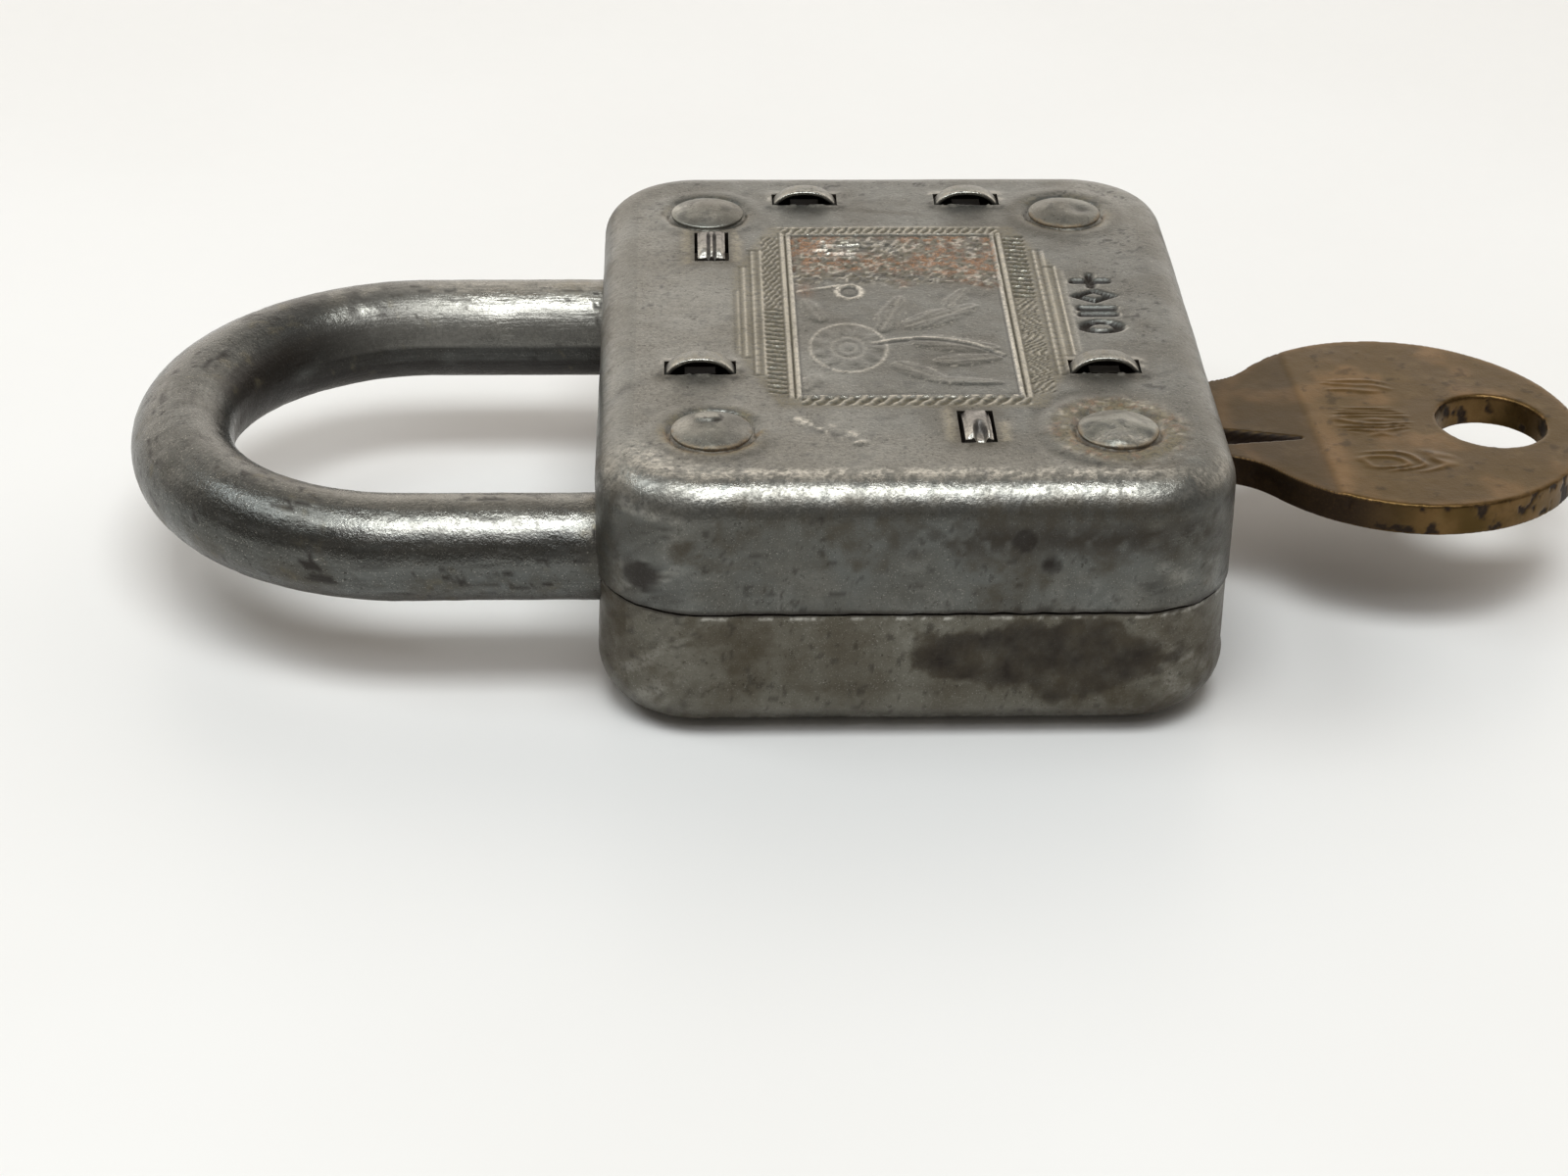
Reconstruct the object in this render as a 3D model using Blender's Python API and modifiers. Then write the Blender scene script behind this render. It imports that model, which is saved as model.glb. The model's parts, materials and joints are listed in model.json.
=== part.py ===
"""Small riveted sheet-steel padlock, lying on its back face, with its flat key in the keyway.

The case is two pressed shells held by four rivets. The shackle swings on the rivet through its
heel. A flat key turns in a round plug and passes three ward plates to reach a leaf spring, whose
nose holds the toe of the shackle.

Frame: the origin is the centre of the case's back face, +X points out along the key, -X along the
shackle, +Y towards the heel of the shackle and +Z out of the decorated front face.
"""

import math

import bmesh
import bpy
from mathutils import Matrix, Vector

MM = 0.001

# Case
CASE_LENGTH = 36.2 * MM
CASE_WIDTH = 44.5 * MM
CASE_DEPTH = 15.9 * MM
SHEET = 1.2 * MM
CORNER_R = 5.9 * MM
FRONT_EDGE_R = 2.2 * MM
BACK_EDGE_R = 3.0 * MM
BACK_TOP = 8.0 * MM
FRONT_BOTTOM = 8.3 * MM
LIP_OUT = 1.5 * MM
LIP_IN = 2.3 * MM
LIP_TOP = 9.6 * MM
LIP_FOOT = 5.6 * MM
HALF_X = CASE_LENGTH / 2
HALF_Y = CASE_WIDTH / 2
FACE_IN = CASE_DEPTH - SHEET

# Rivets
RIVET_X = 11.5 * MM
RIVET_Y = 15.0 * MM
RIVET_R = 1.4 * MM
RIVET_HEAD_R = 2.4 * MM
RIVET_HEAD_H = 0.5 * MM
RIVET_TAIL_R = 2.1 * MM
RIVET_HOLE_R = 1.6 * MM

# Shackle
WIRE_R = 3.115 * MM
LEG_Y = 14.4 * MM
LEG_Z = 8.15 * MM
CROWN_X = -29.2 * MM
TOE_END = -13.2 * MM
HEEL_END = -8.2 * MM
LEG_HOLE_R = 3.4 * MM
TOE_SWAY = 1.1 * MM
HEEL_SLOT_END = -11.3 * MM
NOTCH_X = (-16.6 * MM, -14.6 * MM)
NOTCH_Z = 9.9 * MM

# Key and keyway
KEY_Z = 7.95 * MM
KEY_T = 1.95 * MM
BLADE_HALF = 4.92 * MM
BLADE_TIP = -4.0 * MM
NECK_X = 22.3 * MM
BOW_X = 31.3 * MM
BOW_R = 11.08 * MM
RING_HOLE_X = 36.9 * MM
RING_HOLE_R = 3.4 * MM
KEY_CUT_HALF = 0.85 * MM
KEY_CORE_HALF = 2.8 * MM
SLOT_HALF = 5.15 * MM
SLOT_HEIGHT = 2.45 * MM
PLUG_HUB_R = 5.8 * MM
PLUG_HOLE_R = 6.0 * MM
PLUG_FLANGE_R = 6.45 * MM
PLUG_X = (15.1 * MM, 16.6 * MM, 17.9 * MM)

# Wards on their carrier
WARD_T = 0.8 * MM
WARD_HALF_Y = 6.8 * MM
WARD_Z = (2.45 * MM, 13.8 * MM)
WARD_HOLE_R = 3.3 * MM
WARD_XS = (11.0 * MM, 7.6 * MM, 4.2 * MM)
RETAINER_X = 14.1 * MM
RETAINER_HOLE_R = 5.35 * MM
CARRIER_Z = (1.5 * MM, 2.3 * MM)
TENON_HALF = 2.85 * MM

# Pressed bridges on the face, as (centre x, centre y)
BRIDGES = (
    (-5.2 * MM, 17.1 * MM),
    (5.3 * MM, 17.1 * MM),
    (-12.1 * MM, -7.15 * MM),
    (11.6 * MM, -7.15 * MM),
)
BRIDGE_SPAN = 4.0 * MM
BRIDGE_DEPTH = 1.5 * MM
BRIDGE_RISE = 1.0 * MM
BRIDGE_T = 0.55 * MM

# Windows for the two staked anchors, as low and high corners
KICK_WINDOW = ((-12.35 * MM, 7.8 * MM), (-10.2 * MM, 12.0 * MM))
LOCK_WINDOW = ((2.5 * MM, -16.5 * MM), (4.55 * MM, -12.6 * MM))

# Springs
LEAF_T = 0.5 * MM
LEAF_Z = 12.4 * MM
KICK_T = 0.4 * MM
SEGS = 28


def clear_scene():
    for obj in list(bpy.data.objects):
        bpy.data.objects.remove(obj, do_unlink=True)
    for coll in list(bpy.data.collections):
        bpy.data.collections.remove(coll)


def new_collection(name):
    coll = bpy.data.collections.new(name)
    bpy.context.scene.collection.children.link(coll)
    return coll


def material(name, colour, roughness, metallic):
    mat = bpy.data.materials.new(name)
    mat.use_nodes = True
    bsdf = mat.node_tree.nodes["Principled BSDF"]
    bsdf.inputs["Base Color"].default_value = (*colour, 1.0)
    bsdf.inputs["Roughness"].default_value = roughness
    bsdf.inputs["Metallic"].default_value = metallic
    mat.diffuse_color = (*colour, 1.0)
    return mat


def mesh_object(name, bm, coll, mat=None):
    """Link the bmesh as a new object in the collection."""
    bmesh.ops.recalc_face_normals(bm, faces=bm.faces)
    mesh = bpy.data.meshes.new(name)
    bm.to_mesh(mesh)
    bm.free()
    obj = bpy.data.objects.new(name, mesh)
    coll.objects.link(obj)
    if mat:
        mesh.materials.append(mat)
    return obj


def smooth(obj, angle=35.0):
    obj.data.shade_smooth()
    obj.data.set_sharp_from_angle(angle=math.radians(angle))


def move_origin(obj, point):
    """Put the object's origin on a point and leave its shape where it is."""
    obj.data.transform(Matrix.Translation(-Vector(point)))
    obj.location = point


def box_bmesh(low, high):
    size = Vector(high) - Vector(low)
    centre = (Vector(high) + Vector(low)) / 2
    bm = bmesh.new()
    place = Matrix.Translation(centre) @ Matrix.Diagonal((*size, 1.0))
    bmesh.ops.create_cube(bm, size=1.0, matrix=place)
    return bm


def box(name, low, high, coll, mat=None):
    return mesh_object(name, box_bmesh(low, high), coll, mat)


def cylinder(name, start, end, radius, coll, mat=None, segments=SEGS):
    """A capped cylinder between two points on a line along X or Z."""
    start = Vector(start)
    end = Vector(end)
    line = end - start
    turn = line.to_track_quat("Z", "Y").to_matrix().to_4x4()
    bm = bmesh.new()
    bmesh.ops.create_cone(
        bm,
        cap_ends=True,
        segments=segments,
        radius1=radius,
        radius2=radius,
        depth=line.length,
        matrix=Matrix.Translation((start + end) / 2) @ turn,
    )
    return mesh_object(name, bm, coll, mat)


def rounded_slab(inset, low_z, high_z, low_edge_r=0.0, high_edge_r=0.0):
    """The case's plan outline, set in by an amount, as a slab with rounded rims."""
    bm = box_bmesh(
        (-HALF_X + inset, -HALF_Y + inset, low_z),
        (HALF_X - inset, HALF_Y - inset, high_z),
    )
    upright = [e for e in bm.edges if abs(e.verts[0].co.z - e.verts[1].co.z) > 0.5 * MM]
    bmesh.ops.bevel(
        bm,
        geom=upright,
        offset=CORNER_R - inset,
        segments=8,
        profile=0.5,
        affect="EDGES",
    )
    for level, radius in ((low_z, low_edge_r), (high_z, high_edge_r)):
        if radius == 0.0:
            continue
        rim = [e for e in bm.edges if all(abs(v.co.z - level) < 1e-6 for v in e.verts)]
        bmesh.ops.bevel(bm, geom=rim, offset=radius, segments=5, profile=0.5, affect="EDGES")
    return bm


def boolean(obj, cutter, operation="DIFFERENCE"):
    """Apply an exact boolean from a cutter that stays hidden in the cutters collection."""
    mod = obj.modifiers.new(cutter.name, "BOOLEAN")
    mod.operation = operation
    mod.solver = "EXACT"
    mod.object = cutter
    cutter.hide_render = True
    cutter.display_type = "WIRE"


def turned(name, profile, centre, coll, mat, steps=SEGS):
    """Revolve a profile of (radius, height), top to bottom, about the vertical at the centre."""
    bm = bmesh.new()
    verts = [bm.verts.new((radius, 0.0, height)) for radius, height in profile]
    for a, b in zip(verts, verts[1:]):
        bm.edges.new((a, b))
    mesh = bpy.data.meshes.new(name)
    bm.to_mesh(mesh)
    bm.free()
    obj = bpy.data.objects.new(name, mesh)
    coll.objects.link(obj)
    mesh.materials.append(mat)
    mod = obj.modifiers.new("turn", "SCREW")
    mod.axis = "Z"
    mod.steps = steps
    mod.render_steps = steps
    mod.use_merge_vertices = True
    mod.merge_threshold = 0.00001
    mod.use_smooth_shade = True
    obj.location = (centre[0], centre[1], 0.0)
    return obj


def prism_bmesh(outline, low, high, axis="Z"):
    """Extrude a flat outline of (u, v) points between two heights along Z, or depths along Y."""
    bm = bmesh.new()
    if axis == "Z":
        verts = [bm.verts.new((u, v, low)) for u, v in outline]
        step = Vector((0.0, 0.0, high - low))
    else:
        verts = [bm.verts.new((u, low, v)) for u, v in outline]
        step = Vector((0.0, high - low, 0.0))
    face = bm.faces.new(verts)
    grown = bmesh.ops.extrude_face_region(bm, geom=[face])
    moved = [g for g in grown["geom"] if isinstance(g, bmesh.types.BMVert)]
    bmesh.ops.translate(bm, vec=step, verts=moved)
    return bm


def prism(name, outline, low, high, coll, mat=None, axis="Z"):
    return mesh_object(name, prism_bmesh(outline, low, high, axis), coll, mat)


def union_boxes(name, boxes, coll, cutters, mat):
    """One solid made of overlapping boxes, each a (low, high) pair of corners."""
    obj = box(name, *boxes[0], coll, mat)
    for i, (low, high) in enumerate(boxes[1:]):
        boolean(obj, box(f"{name}_add_{i}", low, high, cutters), "UNION")
    return obj


def arc(centre, radius, start, end, count):
    points = []
    for i in range(count + 1):
        angle = math.radians(start + (end - start) * i / count)
        points.append((centre[0] + radius * math.cos(angle), centre[1] + radius * math.sin(angle)))
    return points


# ---------------------------------------------------------------- case


def leg_cutters(cutters):
    """Openings of the shackle's legs: a short slot at the toe and a corner slot at the heel."""
    left = -HALF_X - 4 * MM
    inner = -14.0 * MM
    toe = cylinder("toe_hole", (left, -LEG_Y, LEG_Z), (inner, -LEG_Y, LEG_Z), LEG_HOLE_R, cutters)
    toe_far = cylinder(
        "toe_hole_far",
        (left, -LEG_Y + TOE_SWAY, LEG_Z),
        (inner, -LEG_Y + TOE_SWAY, LEG_Z),
        LEG_HOLE_R,
        cutters,
    )
    heel = cylinder("heel_hole", (left, LEG_Y, LEG_Z), (inner, LEG_Y, LEG_Z), LEG_HOLE_R, cutters)
    corner = box(
        "heel_corner_slot",
        (left, LEG_Y, LEG_Z - LEG_HOLE_R),
        (HEEL_SLOT_END, HALF_Y + 3 * MM, LEG_Z + LEG_HOLE_R),
        cutters,
    )
    return [toe, toe_far, heel, corner]


def plug_cutters(cutters):
    hole = cylinder(
        "plug_hole", (14.0 * MM, 0, KEY_Z), (HALF_X + 2 * MM, 0, KEY_Z), PLUG_HOLE_R, cutters
    )
    pocket = cylinder(
        "plug_pocket",
        (14.0 * MM, 0, KEY_Z),
        (HALF_X - SHEET - 0.02 * MM, 0, KEY_Z),
        PLUG_FLANGE_R + 0.25 * MM,
        cutters,
    )
    return [hole, pocket]


def rivet_places():
    return {
        "rivet_heel": (-RIVET_X, RIVET_Y),
        "rivet_toe": (-RIVET_X, -RIVET_Y),
        "rivet_key_far": (RIVET_X, RIVET_Y),
        "rivet_key_near": (RIVET_X, -RIVET_Y),
    }


def make_back_shell(coll, cutters, mat, shared):
    bm = rounded_slab(0.0, 0.0, BACK_TOP, low_edge_r=BACK_EDGE_R)
    shell = mesh_object("back_shell", bm, coll, mat)
    lip = mesh_object("back_lip", rounded_slab(LIP_OUT, LIP_FOOT, LIP_TOP), cutters)
    boolean(shell, lip, "UNION")
    pan = rounded_slab(SHEET, SHEET, LIP_FOOT + 0.4 * MM, low_edge_r=BACK_EDGE_R - SHEET)
    boolean(shell, mesh_object("back_pan", pan, cutters))
    mouth = mesh_object("back_mouth", rounded_slab(LIP_IN, LIP_FOOT, 12 * MM), cutters)
    boolean(shell, mouth)
    for name, (x, y) in rivet_places().items():
        sink = turned(
            name + "_sink",
            [
                (0.0, 2 * MM),
                (RIVET_HOLE_R, 2 * MM),
                (RIVET_HOLE_R, 0.9 * MM),
                (RIVET_TAIL_R + 0.25 * MM, 0.1 * MM),
                (RIVET_TAIL_R + 0.25 * MM, -1 * MM),
                (0.0, -1 * MM),
            ],
            (x, y),
            cutters,
            mat,
        )
        boolean(shell, sink)
    for cutter in shared:
        boolean(shell, cutter)
    return shell


def bridge_outline(grow_in=0.0):
    """Side view of one pressed bridge: an arched strip whose feet sit in the face sheet."""
    half = BRIDGE_SPAN / 2
    top = CASE_DEPTH + BRIDGE_RISE
    foot = CASE_DEPTH - 0.5 * BRIDGE_T
    outer = []
    inner = []
    for i in range(13):
        t = -1.0 + 2.0 * i / 12
        lift = math.cos(t * math.pi / 2) ** 0.55
        x = half * t
        outer.append((x * 1.08, foot + (top - foot) * lift + 0.05 * MM))
        inner.append((x * 0.84, foot - 0.55 * MM + (top - foot) * lift))
    return outer + inner[::-1]


def make_front_shell(coll, cutters, mat, shared):
    bm = rounded_slab(0.0, FRONT_BOTTOM, CASE_DEPTH, high_edge_r=FRONT_EDGE_R)
    shell = mesh_object("front_shell", bm, coll, mat)
    pan = rounded_slab(SHEET, FRONT_BOTTOM - 1 * MM, FACE_IN, high_edge_r=FRONT_EDGE_R - SHEET)
    boolean(shell, mesh_object("front_pan", pan, cutters))
    for i, (x, y) in enumerate(BRIDGES):
        half = BRIDGE_SPAN / 2
        deep = BRIDGE_DEPTH / 2
        slot = box(
            f"bridge_slot_{i}",
            (x - half * 0.9, y - deep - 0.15 * MM, FACE_IN - 0.5 * MM),
            (x + half * 0.9, y + deep + 0.15 * MM, CASE_DEPTH + 2 * MM),
            cutters,
        )
        boolean(shell, slot)
        outline = [(x + u, v) for u, v in bridge_outline()]
        strip = prism(f"bridge_strip_{i}", outline, y - deep, y + deep, cutters, axis="Y")
        boolean(shell, strip, "UNION")
    for label, (low, high) in (("kick", KICK_WINDOW), ("lock", LOCK_WINDOW)):
        window = box(
            label + "_window",
            (*low, FACE_IN - 0.5 * MM),
            (*high, CASE_DEPTH + 1 * MM),
            cutters,
        )
        boolean(shell, window)
    for name, (x, y) in rivet_places().items():
        hole = cylinder(
            name + "_hole", (x, y, FACE_IN - 1 * MM), (x, y, CASE_DEPTH + 1 * MM),
            RIVET_HOLE_R, cutters,
        )
        boolean(shell, hole)
    for cutter in shared:
        boolean(shell, cutter)
    return shell


def make_rivets(coll, mat):
    """Rivets with a low round head on the face and a tail set flush into the back."""
    head = CASE_DEPTH + 0.1 * MM
    for name, centre in rivet_places().items():
        profile = [(0.0, head + RIVET_HEAD_H)]
        for i in range(1, 6):
            angle = math.radians(90.0 * i / 5)
            radius = RIVET_HEAD_R * math.sin(angle)
            profile.append((radius, head + RIVET_HEAD_H * math.cos(angle)))
        profile += [
            (RIVET_R, head),
            (RIVET_R, 1.0 * MM),
            (RIVET_TAIL_R, 0.2 * MM),
            (0.0, 0.2 * MM),
        ]
        turned(name, profile, centre, coll, mat)


def make_sleeve(name, centre, inner_r, outer_r, low, high, coll, mat):
    """A plain collar on a rivet."""
    profile = [(inner_r, high), (outer_r, high), (outer_r, low), (inner_r, low), (inner_r, high)]
    return turned(name, profile, centre, coll, mat)


# ---------------------------------------------------------------- shackle


def shackle_path():
    """Centre line of the shackle from the toe to the heel, as (x, y, radius factor)."""
    points = [
        (TOE_END, -LEG_Y, 0.72),
        (TOE_END - 0.35 * MM, -LEG_Y, 0.92),
        (TOE_END - 0.9 * MM, -LEG_Y, 1.0),
    ]
    for x, y in arc((CROWN_X, 0.0), LEG_Y, 270, 90, 28):
        points.append((x, y, 1.0))
    points += [
        (HEEL_END - 0.8 * MM, LEG_Y, 1.0),
        (HEEL_END - 0.3 * MM, LEG_Y, 0.92),
        (HEEL_END, LEG_Y, 0.75),
    ]
    return points


def make_shackle(coll, cutters, mat):
    """Round bar bent to a U, with a hole for the heel rivet and a notch in the toe."""
    curve = bpy.data.curves.new("shackle_bar", "CURVE")
    curve.dimensions = "3D"
    curve.bevel_depth = WIRE_R
    curve.bevel_resolution = 8
    curve.use_fill_caps = True
    spline = curve.splines.new("POLY")
    path = shackle_path()
    spline.points.add(len(path) - 1)
    for point, (x, y, factor) in zip(spline.points, path):
        point.co = (x, y, LEG_Z, 1.0)
        point.radius = factor
    guide = bpy.data.objects.new("shackle_bar", curve)
    cutters.objects.link(guide)
    bpy.context.view_layer.update()
    graph = bpy.context.evaluated_depsgraph_get()
    mesh = bpy.data.meshes.new_from_object(guide.evaluated_get(graph))
    bpy.data.objects.remove(guide, do_unlink=True)
    bm = bmesh.new()
    bm.from_mesh(mesh)
    bmesh.ops.remove_doubles(bm, verts=bm.verts, dist=0.01 * MM)
    shackle = mesh_object("shackle", bm, coll, mat)
    smooth(shackle, 40)
    pivot = (-RIVET_X, RIVET_Y, LEG_Z)
    move_origin(shackle, pivot)
    hole = cylinder(
        "heel_pin_hole",
        (-RIVET_X, RIVET_Y, LEG_Z - 5 * MM),
        (-RIVET_X, RIVET_Y, LEG_Z + 5 * MM),
        RIVET_HOLE_R,
        cutters,
    )
    boolean(shackle, hole)
    notch = box(
        "toe_notch",
        (NOTCH_X[0], -LEG_Y - 4 * MM, NOTCH_Z),
        (NOTCH_X[1], -LEG_Y + 4 * MM, LEG_Z + 5 * MM),
        cutters,
    )
    boolean(shackle, notch)
    return shackle


# ---------------------------------------------------------------- key


def key_outline():
    """Plan of the key: a straight blade with ward cuts, shoulders and a round bow."""
    edge = [(BLADE_TIP, 3.6 * MM), (BLADE_TIP + 1.3 * MM, BLADE_HALF)]
    for x in sorted(WARD_XS):
        edge += [
            (x - KEY_CUT_HALF, BLADE_HALF),
            (x - KEY_CUT_HALF, KEY_CORE_HALF),
            (x + KEY_CUT_HALF, KEY_CORE_HALF),
            (x + KEY_CUT_HALF, BLADE_HALF),
        ]
    edge.append((NECK_X - 0.9 * MM, BLADE_HALF))
    edge.append((NECK_X - 0.2 * MM, BLADE_HALF + 0.3 * MM))
    start = 180 - math.degrees(math.asin((BLADE_HALF + 1.35 * MM) / BOW_R))
    edge += arc((BOW_X, 0.0), BOW_R, start, 0, 24)
    mirrored = [(x, -y) for x, y in edge[:-1]]
    return edge + mirrored[::-1]


def make_key(coll, cutters, mat):
    low = KEY_Z - KEY_T / 2
    high = KEY_Z + KEY_T / 2
    key = prism("key", key_outline(), low, high, coll, mat)
    ring = cylinder(
        "ring_hole",
        (RING_HOLE_X, 0, low - 2 * MM),
        (RING_HOLE_X, 0, high + 2 * MM),
        RING_HOLE_R,
        cutters,
        segments=32,
    )
    boolean(key, ring)
    groove = prism(
        "blade_groove",
        [
            (-6.0 * MM, -3.35 * MM),
            (19.5 * MM, -3.35 * MM),
            (24.6 * MM, -2.35 * MM),
            (19.5 * MM, -1.6 * MM),
            (-6.0 * MM, -1.6 * MM),
        ],
        high - 0.5 * MM,
        high + 1 * MM,
        cutters,
    )
    boolean(key, groove)
    rounding = key.modifiers.new("edges", "BEVEL")
    rounding.width = 0.15 * MM
    rounding.segments = 1
    rounding.limit_method = "ANGLE"
    rounding.angle_limit = math.radians(60)
    move_origin(key, (HALF_X, 0, KEY_Z))
    return key


def make_plug(coll, cutters, mat):
    """Round keyway plug, a flange inside the wall and a hub through it, slotted for the blade."""
    flange, step, front = PLUG_X
    plug = cylinder("keyway_plug", (flange, 0, KEY_Z), (step, 0, KEY_Z), PLUG_FLANGE_R, coll, mat, 40)
    hub = cylinder(
        "plug_hub", (flange + 0.5 * MM, 0, KEY_Z), (front, 0, KEY_Z), PLUG_HUB_R, cutters,
        segments=40,
    )
    boolean(plug, hub, "UNION")
    slot = box(
        "plug_slot",
        (flange - 1 * MM, -SLOT_HALF, KEY_Z - SLOT_HEIGHT / 2),
        (front + 1 * MM, SLOT_HALF, KEY_Z + SLOT_HEIGHT / 2),
        cutters,
    )
    boolean(plug, slot)
    smooth(plug)
    move_origin(plug, (step, 0, KEY_Z))
    return plug


# ---------------------------------------------------------------- wards


def make_ward(name, x, hole_r, slotted, coll, cutters, mat):
    """A cross plate with a tenon into the carrier and a round opening for the key."""
    half = WARD_T / 2
    plate = box(
        name, (x - half, -WARD_HALF_Y, WARD_Z[0]), (x + half, WARD_HALF_Y, WARD_Z[1]), coll, mat
    )
    tenon = box(
        name + "_tenon",
        (x - half, -TENON_HALF, CARRIER_Z[0] + 0.1 * MM),
        (x + half, TENON_HALF, WARD_Z[0] + 0.6 * MM),
        cutters,
    )
    boolean(plate, tenon, "UNION")
    eye = cylinder(name + "_eye", (x - 2 * MM, 0, KEY_Z), (x + 2 * MM, 0, KEY_Z), hole_r, cutters)
    boolean(plate, eye)
    if slotted:
        slot = box(
            name + "_slot",
            (x - 2 * MM, -SLOT_HALF, KEY_Z - SLOT_HEIGHT / 2),
            (x + 2 * MM, SLOT_HALF, KEY_Z + SLOT_HEIGHT / 2),
            cutters,
        )
        boolean(plate, slot)
    return plate


def make_carrier(coll, cutters, mat):
    """Floor plate that holds the cross plates and is pinned by the two key-side rivets."""
    low, high = CARRIER_Z
    carrier = union_boxes(
        "ward_carrier",
        [
            ((3.0 * MM, -6.4 * MM, low), (14.9 * MM, 6.4 * MM, high)),
            ((9.0 * MM, -17.6 * MM, low), (14.0 * MM, 17.6 * MM, high)),
        ],
        coll,
        cutters,
        mat,
    )
    for x in (*WARD_XS, RETAINER_X):
        mortise = box(
            f"mortise_{round(x / MM)}",
            (x - WARD_T / 2 - 0.15 * MM, -TENON_HALF - 0.15 * MM, low - 1 * MM),
            (x + WARD_T / 2 + 0.15 * MM, TENON_HALF + 0.15 * MM, high + 1 * MM),
            cutters,
        )
        boolean(carrier, mortise)
    for side in (-1, 1):
        y = side * RIVET_Y
        hole = cylinder(
            f"carrier_hole_{side}", (RIVET_X, y, low - 1 * MM), (RIVET_X, y, high + 1 * MM),
            RIVET_HOLE_R + 0.05 * MM, cutters,
        )
        boolean(carrier, hole)
    return carrier


# ---------------------------------------------------------------- springs and straps


def make_anchor(name, window, low_xy, high_xy, low_z, coll, cutters, mat):
    """Block under the face with a staked tenon that fills its window."""
    (x0, y0), (x1, y1) = window
    gap = 0.12 * MM
    anchor = box(name, (*low_xy, low_z), (*high_xy, FACE_IN - 0.2 * MM), coll, mat)
    tenon = box(
        name + "_tenon",
        (x0 + gap, y0 + gap, FACE_IN - 0.8 * MM),
        (x1 - gap, y1 - gap, CASE_DEPTH - 0.1 * MM),
        cutters,
    )
    boolean(anchor, tenon, "UNION")
    return anchor


def make_lock_spring(coll, cutters, mat):
    """Leaf spring: a pad at the anchor, a wing over the key's tip and a nose in the toe's notch."""
    top = LEAF_Z + LEAF_T
    spring = prism(
        "lock_spring",
        [
            (-16.3 * MM, -16.2 * MM),
            (-14.9 * MM, -16.2 * MM),
            (-14.9 * MM, -13.0 * MM),
            (1.5 * MM, -13.0 * MM),
            (1.5 * MM, -17.0 * MM),
            (5.6 * MM, -17.0 * MM),
            (5.6 * MM, -10.4 * MM),
            (-0.6 * MM, -10.4 * MM),
            (-0.6 * MM, 1.6 * MM),
            (-3.6 * MM, 1.6 * MM),
            (-3.6 * MM, -10.4 * MM),
            (-16.3 * MM, -10.4 * MM),
        ],
        LEAF_Z,
        top,
        coll,
        mat,
    )
    nose = box(
        "lock_nose",
        (-16.3 * MM, -16.2 * MM, NOTCH_Z + 0.4 * MM),
        (-14.9 * MM, -12.6 * MM, LEAF_Z + 0.2 * MM),
        cutters,
    )
    boolean(spring, nose, "UNION")
    return spring


def ribbon_outline(path, thickness):
    """Plan outline of a thin strip that follows a path of (x, y) points."""
    left = []
    right = []
    for i, (x, y) in enumerate(path):
        before = Vector(path[max(i - 1, 0)])
        after = Vector(path[min(i + 1, len(path) - 1)])
        along = (after - before).normalized()
        side = Vector((-along.y, along.x)) * thickness / 2
        left.append((x + side.x, y + side.y))
        right.append((x - side.x, y - side.y))
    return left + right[::-1]


def make_kick_spring(coll, cutters, mat):
    """Bent strip from the kick anchor that presses on the end of the heel."""
    path = [(-10.6 * MM, 7.2 * MM), (-8.6 * MM, 7.2 * MM), (-7.0 * MM, 7.4 * MM)]
    path += arc((-6.6 * MM, 9.3 * MM), 1.9 * MM, -90, 90, 10)
    path += [(-7.2 * MM, 11.6 * MM), (-7.55 * MM, 12.4 * MM), (-7.7 * MM, 13.3 * MM)]
    spring = prism(
        "kick_spring", ribbon_outline(path, KICK_T), 6.6 * MM, 9.8 * MM, coll, mat
    )
    tab = box(
        "kick_tab",
        (-10.8 * MM, 7.0 * MM, 9.0 * MM),
        (-9.2 * MM, 7.4 * MM, 12.35 * MM),
        cutters,
    )
    boolean(spring, tab, "UNION")
    return spring


def make_strap(name, x_range, y_range, bridges, coll, cutters, mat):
    """Flat strap under the face with a tongue up into each bridge above it."""
    low = FACE_IN - 0.65 * MM
    high = FACE_IN - 0.2 * MM
    boxes = [((x_range[0], y_range[0], low), (x_range[1], y_range[1], high))]
    for x, y in bridges:
        boxes.append(
            (
                (x - 0.9 * MM, y - 0.45 * MM, low + 0.1 * MM),
                (x + 0.9 * MM, y + 0.45 * MM, CASE_DEPTH - 0.1 * MM),
            )
        )
    return union_boxes(name, boxes, coll, cutters, mat)


# ---------------------------------------------------------------- assembly


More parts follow.
